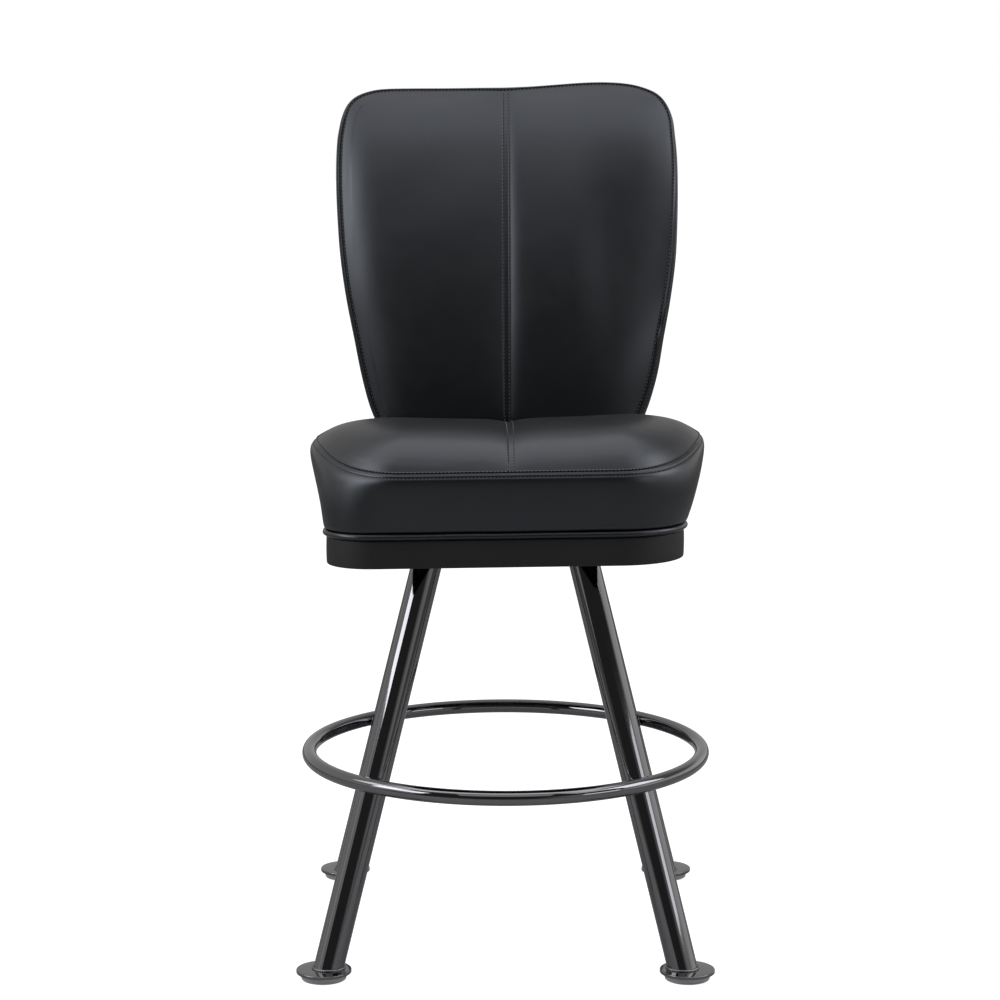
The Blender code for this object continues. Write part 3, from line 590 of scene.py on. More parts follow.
def seat_loop(grow=0.0):
    """Plan of the tray, and of the welt and the boxing's lower edge above it."""
    half = SKIRT_HALF + grow
    return rounded_plan(half, half, PAN_FRONT - grow, PAN_REAR + grow,
                        CORNER_FRONT_LEFT + grow, CORNER_FRONT_RIGHT + grow,
                        CORNER_REAR + grow, 30)


def seam_loop():
    """Plan of the seat's edge seam: wider than the tray, with long elliptical corners."""
    def half_plan(half, corner):
        a, b = corner
        t = np.linspace(0.0, math.pi / 2, 120)
        front = np.column_stack([half - a + a * np.sin(t) ** 1.04,
                                 SEAM_FRONT + b - b * np.cos(t) ** 1.04])
        ra, rb = SEAM_CORNER_REAR
        narrow = half - SEAT_TAPER * 0.9
        rear = np.column_stack([narrow - ra + ra * np.cos(t), SEAM_REAR - rb + rb * np.sin(t)])
        return np.vstack([[(0.0, SEAM_FRONT)], front, rear, [(0.0, SEAM_REAR)]])
    right = half_plan(SEAM_HALF_RIGHT, SEAM_CORNER_RIGHT)
    left = half_plan(SEAM_HALF_LEFT, SEAM_CORNER_LEFT)[::-1] * [-1.0, 1.0]
    return dense_loop(np.vstack([right[:-1], left[:-1]]), smooth=60)


def reach_to_loop(points, normals, loop):
    """Signed distance along each point's normal to a loop lying near it."""
    out = loop_normals(loop)
    t = np.zeros(len(points))
    for _ in range(6):
        q = points + normals * t[:, None]
        near = np.array([int(np.argmin(((loop - p) ** 2).sum(1))) for p in q])
        t -= ((q - loop[near]) * out[near]).sum(1)
    return t


def place_columns(total, fine, count):
    """count + 1 distances from a seam: the fine ones first, then even steps."""
    fine = [f for f in fine if f < total]
    rest = count - (len(fine) - 1)
    step = np.linspace(0.0, 1.0, rest + 1)[1:]
    return np.array(fine + [fine[-1] + (total - fine[-1]) * s for s in step])


class Layout:
    """Quad layout over a closed outline split by one seam: rings near the edge, and a
    left and a right patch inside.  The outline is given in its own plane."""

    def __init__(self, loop, seam_low, seam_high, corner_turn, fine, nx, ny):
        self.loop = loop
        normals = loop_normals(loop)
        n = len(loop)
        angle = np.unwrap(np.arctan2(normals[:, 1], normals[:, 0]))
        seg = np.linalg.norm(np.roll(loop, -1, 0) - loop, axis=1)
        arc_len = np.concatenate([[0.0], np.cumsum(seg)])
        total = arc_len[-1]

        def at_seam(x, low):
            side = loop[:, 1] < loop[:, 1].mean()
            pick = np.where(side if low else ~side)[0]
            i = pick[np.argmin(np.abs(loop[pick, 0] - x))]
            return arc_len[i]

        def at_turn(sx, sy):
            want = math.atan2(sy * math.sin(corner_turn[sy > 0]),
                              sx * math.cos(corner_turn[sy > 0]))
            score = (normals * [math.cos(want), math.sin(want)]).sum(1)
            return arc_len[int(np.argmax(score))]

        marks = [at_seam(seam_low, True), at_turn(1, -1), at_turn(1, 1),
                 at_seam(seam_high, False), at_turn(-1, 1), at_turn(-1, -1)]
        marks = [m if k == 0 or m > marks[0] else m + total for k, m in enumerate(marks)]
        marks.append(marks[0] + total)
        spots = []
        for k in range(6):
            length = marks[k + 1] - marks[k]
            if k in (0, 3):
                d = place_columns(length, fine, nx)
            elif k in (2, 5):
                d = length - place_columns(length, fine, nx)[::-1]
            else:
                d = np.linspace(0.0, length, ny + 1)
            spots.append(marks[k] + d[:-1])
        s = np.concatenate(spots) % total
        closed = np.vstack([loop, loop[:1]])
        cn = np.vstack([normals, normals[:1]])
        self.edge = np.stack([np.interp(s, arc_len, closed[:, k]) for k in (0, 1)], 1)
        self.normal = unit(np.stack([np.interp(s, arc_len, cn[:, k]) for k in (0, 1)], 1))
        self.edge[0, 0] = seam_low
        self.edge[2 * 0 + nx + ny + nx, 0] = seam_high
        self.nx, self.ny = nx, ny
        self.count = len(s)
        self.fine = fine
        # index of the six marks in the ring
        self.marks = [0, nx, nx + ny, 2 * nx + ny, 3 * nx + ny, 3 * nx + 2 * ny]
        # distance of each ring point from the middle seam, where it is near one of its ends
        self.mid = np.ones(self.count)
        for end in (self.marks[0], self.marks[3]):
            for k, d in enumerate(fine):
                self.mid[(end + k) % self.count] = d
                self.mid[(end - k) % self.count] = d

    def ring(self, inset):
        inset = np.broadcast_to(np.asarray(inset, float), (self.count,))
        return self.edge - self.normal * inset[:, None]

    def fill(self, ring, first, ring_index):
        """Inner patches inside a ring.  Returns new points, faces and each patch's index
        grid; first is the index of the first new point."""
        nx, ny = self.nx, self.ny
        n = self.count
        m = self.marks
        idx = lambda a, b: [i % n for i in range(a, b + 1)]
        bottom_r, right = idx(m[0], m[1]), idx(m[1], m[2])
        top_r = idx(m[2], m[3])[::-1]
        top_l, left = idx(m[3], m[4]), idx(m[4], m[5])[::-1]
        bottom_l = idx(m[5], m[5] + nx)[::-1]
        low, high = ring[m[0]], ring[m[3]]

        def share(path):
            d = np.linalg.norm(np.diff(ring[path], axis=0), axis=1)
            return np.concatenate([[0.0], np.cumsum(d)]) / d.sum()

        points, faces, grids = [], [], []
        t_seam = (share(right) + share(left)) / 2
        seam_points = low + (high - low) * t_seam[:, None]
        seam_idx = [ring_index[m[0]]] + [first + k for k in range(ny - 1)] + [ring_index[m[3]]]
        points.extend(seam_points[1:-1])
        for bottom, side, top in ((bottom_r, right, top_r), (bottom_l, left, top_l)):
            s = (share(bottom) + share(top)) / 2
            t = (share(side) + t_seam) / 2
            B, T, R = ring[bottom], ring[top], ring[side]
            L = seam_points
            S, U = s[:, None, None], t[None, :, None]
            P = ((1 - U) * B[:, None] + U * T[:, None] + (1 - S) * L[None] + S * R[None]
                 - (1 - S) * (1 - U) * B[0] - S * (1 - U) * B[-1]
                 - (1 - S) * U * T[0] - S * U * T[-1])
            grid = np.zeros((nx + 1, ny + 1), int)
            grid[:, 0] = [ring_index[i] for i in bottom]
            grid[:, -1] = [ring_index[i] for i in top]
            grid[-1, :] = [ring_index[i] for i in side]
            grid[0, :] = seam_idx
            start = first + len(points)
            grid[1:-1, 1:-1] = start + np.arange((nx - 1) * (ny - 1)).reshape(nx - 1, ny - 1)
            points.extend(P[1:-1, 1:-1].reshape(-1, 2))
            a, b = grid[:-1, :-1], grid[1:, :-1]
            c, d = grid[1:, 1:], grid[:-1, 1:]
            faces.extend(np.stack([a, b, c, d], -1).reshape(-1, 4).tolist())
            grids.append(grid)
        return np.array(points), faces, grids


def nearest_distance(points, loop):
    """Distance of each point in the plane to a dense loop."""
    out = np.empty(len(points))
    sparse = loop[::4]
    for i in range(0, len(points), 2000):
        block = points[i:i + 2000]
        out[i:i + 2000] = np.sqrt(((block[:, None] - sparse[None]) ** 2).sum(-1).min(1))
    return out


def inwards(points, loop, reach):
    """Rises smoothly from 0 at a closed outline to 1 well inside it."""
    out = np.empty(len(points))
    sparse = loop[::4]
    step = np.linalg.norm(np.roll(sparse, -1, 0) - sparse, axis=1)
    for i in range(0, len(points), 2000):
        block = points[i:i + 2000]
        away = np.sqrt(((block[:, None] - sparse[None]) ** 2).sum(-1))
        out[i:i + 2000] = 1 - (np.exp(-away / reach) * step).sum(1) / (2 * reach)
    return out


def bezier(p0, p1, p2, p3, n):
    t = np.linspace(0.0, 1.0, n)[:, None]
    p0, p1, p2, p3 = (np.asarray(p, float) for p in (p0, p1, p2, p3))
    return ((1 - t) ** 3 * p0 + 3 * (1 - t) ** 2 * t * p1 + 3 * (1 - t) * t ** 2 * p2
            + t ** 3 * p3)


def along(curve, distances):
    """Points of a polyline (n, k) at the given lengths, the last one at its end."""
    s = np.concatenate([[0.0], np.cumsum(np.linalg.norm(np.diff(curve, axis=0), axis=1))])
    d = np.where(np.asarray(distances) < 0, s[-1], np.minimum(distances, s[-1]))
    return np.stack([np.interp(d, s, curve[:, k]) for k in range(curve.shape[1])], 1)


def hermite(points, t):
    """Smooth curve through (x, y) stations."""
    p = np.asarray(points, float)
    x, y = p[:, 0], p[:, 1]
    slope = np.gradient(y, x)
    i = np.clip(np.searchsorted(x, t) - 1, 0, len(x) - 2)
    h = x[i + 1] - x[i]
    u = np.clip((t - x[i]) / h, 0.0, 1.0)
    return ((2 * u ** 3 - 3 * u ** 2 + 1) * y[i] + (u ** 3 - 2 * u ** 2 + u) * h * slope[i]
            + (-2 * u ** 3 + 3 * u ** 2) * y[i + 1] + (u ** 3 - u ** 2) * h * slope[i + 1])


def mesh_normals(verts, faces):
    verts = np.asarray(verts, float)
    quads = np.array([f if len(f) == 4 else (*f, f[-1]) for f in faces])
    a, b, c, d = (verts[quads[:, k]] for k in range(4))
    normal = np.cross(c - a, d - b)
    out = np.zeros_like(verts)
    for k in range(4):
        np.add.at(out, quads[:, k], normal)
    return unit(out)


# profile of a sewn seam: a crease, the two rolls beside it, a sunk row of stitches on
# each side.  Distances and depths in metres.
STITCH_AT, STITCH_LOW = 0.0032, 0.0044


def seam_profile(d, crease=0.0023, roll=0.0008, row=0.0007):
    at = np.where(d < 0, STITCH_LOW, STITCH_AT)
    d = np.abs(d)
    return (-crease * np.exp(-(d / 0.0009) ** 2) + roll * np.exp(-((d - 0.0018) / 0.0008) ** 2)
            - row * np.exp(-((d - at) / 0.0007) ** 2))


def steady_normals(nrm, rows):
    """Close to a seam every row moves the way the seam itself does, so that the crease
    doesn't fold over; rows holds the seam's row, then (row, distance) pairs."""
    kernel = np.hanning(17)[1:-1] / np.hanning(17).sum()
    reach = len(kernel) // 2

    def evened(v):
        v = np.vstack([v[-reach:], v, v[:reach]])
        return unit(np.stack([np.convolve(v[:, k], kernel, "valid") for k in range(3)], 1))

    nrm = nrm.copy()
    seam = nrm[rows[0]] = evened(nrm[rows[0]])
    for row, d in rows[1:]:
        t = smooth01((d - 0.0009) / 0.0017)
        nrm[row] = unit(evened(nrm[row]) * t + seam * (1 - t))
    return nrm


def middle_run(lay, rings, grids, k):
    """The two lines of points along the middle seam, from one edge seam to the other."""
    near = SEAM_STEPS.index(0.0049)
    out = []
    for grid, s in zip(grids, (1, -1)):
        low, high = (lay.marks[0] + s * k) % lay.count, (lay.marks[3] - s * k) % lay.count
        out.append([ring[low] for ring in rings[near:-1]] + list(grid[k, :])
                   + [ring[high] for ring in rings[near:-1]][::-1])
    return out


def flat_seam_profile(d, row=0.0005, at=0.0034):
    d = np.abs(d)
    return -row * np.exp(-((d - at) / 0.0008) ** 2)


def valley(dx, left, right):
    """Share of the depth of the valley along a middle seam: a flat strip between its two
    rows of stitches, then a rise on each side over the given lengths."""
    return np.exp(-np.maximum(np.abs(dx) - 0.0034, 0) / np.where(dx > 0, right, left))


SEAM_STEPS = [0.0, 0.0003, 0.0006, 0.0010, 0.0014, 0.0018, 0.0022, 0.0026, 0.0029, 0.0032,
              0.0035, 0.0039, 0.0044, 0.0049, 0.0056, 0.0070, 0.0096, 0.0130, 0.0165]
FLAT_STEPS = [0.0, 0.0007, 0.0014, 0.0020, 0.0025, 0.0029, 0.0032, 0.0034, 0.0036, 0.0039,
              0.0043, 0.0050, 0.0060, 0.0074, 0.0092, 0.0115, 0.0145, 0.0180, 0.0220]


SEAT_PITCH, BACK_PITCH = 0.00465, 0.0051


def stitches(name, runs, pitch, length, radius, body):
    """Rows of sewing thread: each stitch is a short length of thread that dives into the cover at
    both ends, coloured lighter than the cover as a painted highlight, and between two stitches the
    needle hole shows as a small pit, drawn near-black and matte as painted shade."""
    verts, faces = [], []
    pit_verts, pit_faces = [], []
    around, along_n = 8, 7
    a = np.arange(around) * 2 * math.pi / around
    for pts, nrm, closed in runs:
        pts, nrm = np.asarray(pts, float), np.asarray(nrm, float)
        if closed:
            pts, nrm = np.vstack([pts, pts[:1]]), np.vstack([nrm, nrm[:1]])
        s = np.concatenate([[0.0], np.cumsum(np.linalg.norm(np.diff(pts, axis=0), axis=1))])
        number = max(int(round(s[-1] / pitch)), 1)
        step = s[-1] / number
        for k in range(number):
            mid = (k + 0.5) * step
            wob = 0.00008 * math.sin(k * 12.9898)
            u = np.linspace(-0.5, 0.5, along_n)
            at = mid + u * length
            c = np.stack([np.interp(at, s, pts[:, j]) for j in range(3)], 1)
            n = unit(np.stack([np.interp(at, s, nrm[:, j]) for j in range(3)], 1))
            tangent = unit(np.gradient(c, axis=0))
            side = np.cross(tangent, n)
            lift = radius * (0.85 - 2.2 * (2 * np.abs(u)) ** 3)
            c = c + n * lift[:, None] + side * wob
            size = radius * (1.0 - 0.40 * (2 * np.abs(u)) ** 4)
            ring = (c[:, None] + size[:, None, None]
                    * (np.cos(a)[None, :, None] * side[:, None]
                       + np.sin(a)[None, :, None] * n[:, None]))
            base = len(verts)
            verts.extend(ring.reshape(-1, 3))
            for i in range(along_n - 1):
                for j in range(around):
                    l = (j + 1) % around
                    faces.append((base + i * around + j, base + i * around + l,
                                  base + (i + 1) * around + l, base + (i + 1) * around + j))
            faces.append(tuple(base + j for j in range(around)))
            faces.append(tuple(base + (along_n - 1) * around + j for j in range(around)))
            # needle hole at the start of the stitch, a near-black matte spot of painted shade
            at = k * step
            c = np.array([np.interp(at, s, pts[:, j]) for j in range(3)])
            n = unit(np.array([np.interp(at, s, nrm[:, j]) for j in range(3)]))
            t = unit(np.array([np.interp(min(at + 0.0005, s[-1]), s, pts[:, j])
                               for j in range(3)])
                     - np.array([np.interp(max(at - 0.0005, 0.0), s, pts[:, j])
                                 for j in range(3)]))
            side = np.cross(t, n)
            base = len(pit_verts)
            for h, r in ((-0.00040, 0.60), (0.00018, 1.0), (0.00026, 0.50)):
                pit_verts.extend(c + n * h + r * (0.00115 * np.cos(a)[:, None] * t
                                                  + 0.00070 * np.sin(a)[:, None] * side))
            for i in range(2):
                for j in range(around):
                    l = (j + 1) % around
                    pit_faces.append((base + i * around + j, base + i * around + l,
                                      base + (i + 1) * around + l,
                                      base + (i + 1) * around + j))
            pit_faces.append(tuple(base + j for j in range(around)))
            pit_faces.append(tuple(base + 2 * around + j for j in range(around)))
    # needle holes drawn as dark spots of painted shade
    add_mesh(name + "_hole_painted_shade", pit_verts, pit_faces, PIT_PAINTED_SHADE, body)
    # thread drawn in its lightened colour, a painted highlight
    return add_mesh(name, verts, faces, THREAD_PAINTED_HIGHLIGHT, body)


# --------------------------------------------------------------- seat tray (skirt)
def shear(points):
    points = np.array(points, float)
    points[:, 2] += SEAT_SHEAR * points[:, 0]
    return points


def world(points):
    points = np.array(points, float)
    points[:, 1] += SWIVEL_Y
    return points


def pick(loop, count):
    """Evenly spaced points of a dense loop, starting at the front middle."""
    start = int(np.argmin(np.abs(loop[:, 0]) + 10 * (loop[:, 1] > 0)))
    loop = np.roll(loop, -start, 0)
    i = (np.arange(count) * len(loop) / count).astype(int)
    return loop[i]


def skirt():
    n = 320
    loop = seat_loop()
    normal = pick(np.hstack([loop, loop_normals(loop)]), n)
    base, nrm = normal[:, :2], normal[:, 2:]

    def level(inset, z, tilt=1.0):
        p = base - nrm * inset
        return np.column_stack([p, np.full(n, z) + SEAT_SHEAR * p[:, 0] * tilt])

    rings = []
    for a in np.linspace(-90, 0, 7):                       # rounded lower edge
        rings.append(level(0.0018 - 0.0018 * math.cos(math.radians(a)) * 1.0,
                           PAN_Z0 + 0.0018 + 0.0018 * math.sin(math.radians(a))))
    for z in np.linspace(PAN_Z0 + 0.006, PAN_SHOULDER_Z - 0.004, 6):
        t = (z - PAN_Z0) / (PAN_SHOULDER_Z - PAN_Z0)
        rings.append(level(-0.0004 * math.sin(math.pi * t), z))
    for a in np.linspace(0, 90, 5):
        rings.append(level(0.0016 - 0.0016 * math.cos(math.radians(a)),
                           PAN_SHOULDER_Z - 0.0016 + 0.0016 * math.sin(math.radians(a))))
    rings.append(level(0.0050, PAN_SHOULDER_Z))
    rings.append(level(0.0055, PAN_TOP_Z - 0.0008, 0.8))
    rings.append(level(0.0085, PAN_TOP_Z - 0.0004, 0.0))
    r = np.hypot(base[:, 0], base[:, 1])
    hole = base / r[:, None] * PAN_OPENING_R
    rings.append(np.column_stack([hole, np.full(n, PAN_TOP_Z - 0.0004)]))
    rings.append(np.column_stack([hole, np.full(n, PAN_SHOULDER_Z + 0.0004)]))
    rings.append(level(0.0300, PAN_SHOULDER_Z + 0.0004, 0.0))
    rings.append(level(0.0100, PAN_SHOULDER_Z - 0.0006, 0.6))
    rings.append(level(PAN_WALL + 0.0012, PAN_SHOULDER_Z - 0.0040))
    rings.append(level(PAN_WALL, PAN_SHOULDER_Z - 0.0080))
    rings.append(level(PAN_WALL, PAN_Z0 + 0.0010))
    rings.append(level(PAN_WALL - 0.0010, PAN_Z0))
    verts = world(np.concatenate(rings))
    idx = [list(range(i * n, i * n + n)) for i in range(len(rings))]
    faces = []
    for a, b in zip(idx, idx[1:] + idx[:1]):
        faces += ring_faces(a, b)
    ob = add_mesh("seat_tray", verts, faces, TRAY, "seat", ["seat_pan"],
                  angle=38)
    for s in (-1, 1):                                      # slots for the two brackets
        bm = bmesh.new()
        bmesh.ops.create_cube(bm, size=1.0)
        mesh = bpy.data.meshes.new("slot")
        bm.to_mesh(mesh)
        bm.free()
        cutter = bpy.data.objects.new("slot", mesh)
        cutter.scale = (BRACKET_WIDTH + 0.0020, 0.050, BRACKET_T + 0.0024)
        cutter.location = (s * BRACKET_X, SWIVEL_Y + PAN_REAR,
                           BRACKET_TOP_Z - BRACKET_T / 2 - 0.0002)
        scene.collection.objects.link(cutter)
        mod = ob.modifiers.new("slot", "BOOLEAN")
        mod.object = cutter
        mod.operation = "DIFFERENCE"
        bpy.context.view_layer.update()
        graph = bpy.context.evaluated_depsgraph_get()
        new = bpy.data.meshes.new_from_object(ob.evaluated_get(graph))
        ob.modifiers.clear()
        ob.data = new
        bpy.data.objects.remove(cutter)
    ob.data.set_sharp_from_angle(angle=math.radians(38))
    ob.data.materials.clear()
    ob.data.materials.append(TRAY)
    return ob


skirt()


# --------------------------------------------------------------- welt
def welt():
    n, m = 520, 22
    loop = seat_loop(0.0006)
    both = pick(np.hstack([loop, loop_normals(loop)]), n)
    path = np.column_stack([both[:, :2], np.full(n, WELT_Z)])
    out = np.column_stack([both[:, 2:], np.zeros(n)])
    length = np.concatenate([[0.0], np.cumsum(np.linalg.norm(np.diff(path, axis=0), axis=1))])
    # slight unevenness where the cord was pulled round
    rng = np.random.default_rng(7)
    wave = np.zeros(n)
    for k in range(5, 60):
        wave += rng.normal() * np.cos(2 * math.pi * k * np.arange(n) / n + rng.uniform(0, 6.28)) / k
    wave *= 0.00012 / np.abs(wave).max() * 2
    path[:, 2] += wave
    a = np.arange(m) * 2 * math.pi / m
    # a round cord with the sewn fold showing as a shallow groove below it
    r = WELT_R * (1.0 - 0.13 * np.exp(-((a - 5.35) / 0.22) ** 2))
    sec = np.stack([r * np.cos(a), r * np.sin(a)], 1)
    sec = sec[None] * (1.0 + wave * 60)[:, None, None]
    verts, faces = sweep(world(shear(path)), out, np.tile([0.0, 0.0, 1.0], (n, 1)), sec)
    add_mesh("welt_cord", verts, faces, VINYL_WELT, "seat", ["seat_welt"])


welt()


# --------------------------------------------------------------- seat cushion
SHOULDER = 0.0076          # how far the boxing swells out beyond the edge seam
LOWER_SWELL = 0.0034       # and above the welt
CREST_Y, CREST_FALL, CREST_BEND = -0.105, 0.142, 0.060   # where the dome is highest


def smooth01(t):
    t = np.clip(t, 0.0, 1.0)
    return t * t * (3 - 2 * t)


def seam_height(p):
    """Height of the edge seam; it drops behind, more so on the right."""
    x, y = p[:, 0], p[:, 1]
    return (SEAM_Z_FRONT + SEAM_RISE * smooth01((y + 0.2553) / 0.1717)
            - SEAM_REAR_DROP * (1 + 2.2 * x) * smooth01((y - 0.02) / 0.17))


def seat_seam_x(y):
    """The middle seam runs a little to the right towards the front."""
    return 0.0005 + (0.19 - y) * 0.0155


def seat_cushion():
    nx, ny = 84, 140
    loop = seam_loop()
    lay = Layout(loop, seat_seam_x(loop[:, 1].min()), seat_seam_x(loop[:, 1].max()),
                 {False: math.radians(48), True: math.radians(48)}, FLAT_STEPS, nx, ny)
    n = lay.count
    centre = np.array([0.0, SEAT_CENTRE_Y])
    # height of the edge seam in each direction, for the crown
    th = np.arctan2(loop[:, 1] - centre[1], loop[:, 0] - centre[0])
    order = np.argsort(th)
    th_s, z_s = th[order], seam_height(loop)[order]

    def top_height(p, d):
        q = p - centre
        t = np.arctan2(q[:, 1], q[:, 0])
        ze = np.interp(t, th_s, z_s, period=2 * math.pi)
        back = p[:, 1] - CREST_Y                           # and falls away behind
        crown = CROWN_Z - CREST_FALL * (np.sqrt(back ** 2 + CREST_BEND ** 2) + back) / 2
        rise = 0.5 * (crown - ze + np.sqrt((crown - ze) ** 2 + 0.010 ** 2))
        ahead = smooth01(0.5 - 0.75 * np.sin(t))           # fuller towards the front
        near = 1 - (1 - np.clip(d / (0.075 + 0.055 * ahead), 0, 1)) ** (5.0 + ahead)
        wide = 1 - (1 - np.clip(d / (0.090 + 0.080 * ahead ** 2), 0, 1)) ** 3.0
        z = ze + rise * (0.5 * near + 0.5 * wide)
        dx = p[:, 0] - seat_seam_x(p[:, 1])
        reach = 1 - np.exp(-d / 0.020)
        z -= 0.0046 * valley(dx, 0.018, 0.013) * reach    # pulled in at the middle seam
        dx = np.abs(dx)
        z += 0.0032 * np.exp(-((dx - 0.150) / 0.062) ** 2) * reach   # two shallow lobes
        return z

    points, seam_d, mid_d, faces = [], [], [], []
    rings = []
    # the rings of the top panel keep their distance from the seam along the surface
    sample = 0.030 * (1 - np.cos(np.linspace(0, math.pi / 2, 70)))
    where = np.array([lay.ring(d) for d in sample])           # (70, n, 2)
    high = np.array([top_height(where[k], np.full(n, sample[k])) for k in range(len(sample))])
    path = np.concatenate([where, high[..., None]], 2)
    length = np.concatenate([np.zeros((1, n)), np.cumsum(
        np.linalg.norm(np.diff(path, axis=0), axis=2), axis=0)])
    for step in SEAM_STEPS:
        inset = np.array([np.interp(step, length[:, i], sample) for i in range(n)])
        p = lay.ring(inset)
        rings.append(list(range(len(points), len(points) + n)))
        points.extend(np.column_stack([p, top_height(p, inset)]))
        seam_d.extend([step] * n)
        mid_d.extend(lay.mid)
        last = p
    for a, b in zip(rings, rings[1:]):
        faces += ring_faces(a, b)
    new, more, grids = lay.fill(last, len(points), rings[-1])
    d_new = nearest_distance(new, loop)
    points.extend(np.column_stack([new, top_height(new, d_new)]))
    seam_d.extend(d_new + 0.006)
    mid_d.extend([1.0] * len(new))
    for grid in grids:
        for k, d in enumerate(lay.fine):
            for i in grid[k, 1:-1]:
                mid_d[i] = d
    faces += more
    top_count = len(points)

    # boxing, from the seam down to the welt
    zs = seam_height(lay.edge)
    foot = reach_to_loop(lay.edge, lay.normal, seat_loop()) + LOWER_SWELL
    turn = (1 - np.cos(np.linspace(0, math.pi, 240))) / 2
    lows = []
    for i in range(n):
        drop = zs[i] - COVER_Z0
        h = turn * drop
        side = lay.normal[i, 0]
        swell = SHOULDER * (0.78 + 0.36 * side ** 2 - 0.20 * side)
        belly = 0.0020 + 0.0045 * side ** 2 + 0.0009 * side
        off = (swell + (foot[i] - swell) * h / drop - swell * np.exp(-h / 0.0052)
               + belly * np.sin(math.pi * h / drop)
               - LOWER_SWELL * np.exp(-(drop - h) / 0.0012))
        c = np.column_stack([lay.edge[i, 0] + lay.normal[i, 0] * off,
                             lay.edge[i, 1] + lay.normal[i, 1] * off, zs[i] - h])
        s = np.concatenate([[0.0], np.cumsum(np.linalg.norm(np.diff(c, axis=0), axis=1))])
        near = np.array(SEAM_STEPS[1:])
        rest = np.linspace(near[-1], s[-1] - 0.008, 15)[1:]
        tuck = s[-1] - np.array([0.0056, 0.0038, 0.0024, 0.0013, 0.0006, 0.0])
        d = np.concatenate([near, rest, tuck])
        lows.append(np.column_stack([np.stack([np.interp(d, s, c[:, k]) for k in range(3)], 1),
                                     d]))
    lows = np.array(lows)                                  # (n, rows, 4)
    previous = rings[0]
    for k in range(lows.shape[1]):
        row = list(range(len(points), len(points) + n))
        points.extend(lows[:, k, :3])
        seam_d.extend(-lows[:, k, 3])
        mid_d.extend([1.0] * n)
        faces += ring_faces(previous, row)
        previous = row
    outside = len(points)
    # lower edge tucked in behind the welt, then the closed underside on the board
    lip = lay.edge + lay.normal * (foot - LOWER_SWELL)[:, None]
    for inset, z in ((0.0014, COVER_Z0 - 0.0007), (0.0028, COVER_Z0 - 0.0013),
                     (0.0036, 0.5700), (0.0037, 0.5675), (0.0041, 0.5675), (0.0041, 0.5720),
                     (0.0043, 0.5819), (0.0400, 0.5819), (0.1200, 0.5819)):
        p = lip - lay.normal * inset
        if inset > 0.1:
            p = lip * 0.35
        row = list(range(len(points), len(points) + n))
        points.extend(np.column_stack([p, np.full(n, z)]))
        seam_d.extend([-1.0] * n)
        mid_d.extend([1.0] * n)
        faces += ring_faces(previous, row)
        previous = row
    points.append((0.0, 0.0, 0.5819))
    seam_d.append(-1.0)
    mid_d.append(1.0)
    faces += [(previous[i], previous[(i + 1) % n], len(points) - 1) for i in range(n)]
    flat = np.zeros(len(points), bool)
    flat[outside + 6 * n:] = True
    return (lay, np.array(points), faces, np.array(seam_d), np.array(mid_d), rings, grids,
            top_count, flat)


def sign_out(points, faces):
    """Normals pointing out of a closed form."""
    nrm = mesh_normals(points, faces)
    mid = points.mean(0)
    return nrm if ((points - mid) * nrm).sum() > 0 else -nrm


def sway(points, seed, size, waves):
    """Very gentle unevenness of a hand-upholstered surface."""
    rng = np.random.default_rng(seed)
    out = np.zeros(len(points))
    for _ in range(18):
        k = rng.normal(size=3)
        k = k / np.linalg.norm(k) * 2 * math.pi / rng.uniform(*waves)
        out += rng.normal() * np.sin(points @ k + rng.uniform(0, 6.28))
    return out / np.abs(out).max() * size


def finish_seat():
    lay, points, faces, seam_d, mid_d, rings, grids, top_count, flat = seat_cushion()
    nrm = sign_out(points, faces)
    n = lay.count
    beside = [(rings[k], SEAM_STEPS[k]) for k in range(1, 11)]
    beside += [(list(range(top_count + n * (k - 1), top_count + n * k)), SEAM_STEPS[k])
               for k in range(1, 11)]
    nrm = steady_normals(nrm, [rings[0]] + beside)
    move = np.where(seam_d > -0.9, seam_profile(seam_d), 0.0)
    top = np.arange(len(points)) < top_count
    fade = np.clip(np.abs(seam_d) / 0.006, 0, 1)
    move += np.where(top, flat_seam_profile(mid_d) * fade, 0.0)
    quiet = smooth01(np.abs(seam_d) / 0.040) * smooth01(mid_d / 0.025)
    keep = seam_d > -0.9
    move += np.where(keep, sway(points, 3, 0.0006, (0.05, 0.16)) * quiet, 0.0)
    points = points + nrm * move[:, None]
    points = world(np.where(flat[:, None], points, shear(points)))
    ob = add_mesh("seat_cushion", points, faces, VINYL, "seat",
                  ["seat_cover", "seat_foam"])
    nrm = sign_out(points, faces)
    n = lay.count
    row_top = rings[SEAM_STEPS.index(STITCH_AT)]
    row_low_start = top_count + n * (SEAM_STEPS.index(STITCH_LOW) - 1)
    row_low = list(range(row_low_start, row_low_start + n))
    stitches("seat_edge_stitches", [(points[row_top], nrm[row_top], True),
                                    (points[row_low], nrm[row_low], True)],
             SEAT_PITCH, 0.56 * SEAT_PITCH, 0.00058, "seat")
    k = FLAT_STEPS.index(0.0034)
    runs = [(points[col], nrm[col], False) for col in middle_run(lay, rings, grids, k)]
    stitches("seat_middle_stitches", runs, SEAT_PITCH, 0.56 * SEAT_PITCH, 0.00058, "seat")
    return points


seat_points = finish_seat()


# --------------------------------------------------------------- back cushion
# outline of the back, from the front: (distance up the back, left edge, right edge)
BACK_SIDES = ((0.000, -0.1630, 0.1690), (0.040, -0.1772, 0.1866), (0.075, -0.1913, 0.2009),
              (0.116, -0.2022, 0.2128), (0.172, -0.2134, 0.2226), (0.229, -0.2246, 0.2326),
              (0.285, -0.2325, 0.2396), (0.340, -0.2368, 0.2421), (0.397, -0.2390, 0.2427),
              (0.438, -0.2384, 0.2411), (0.467, -0.2357, 0.2376), (0.489, -0.2310, 0.2342))


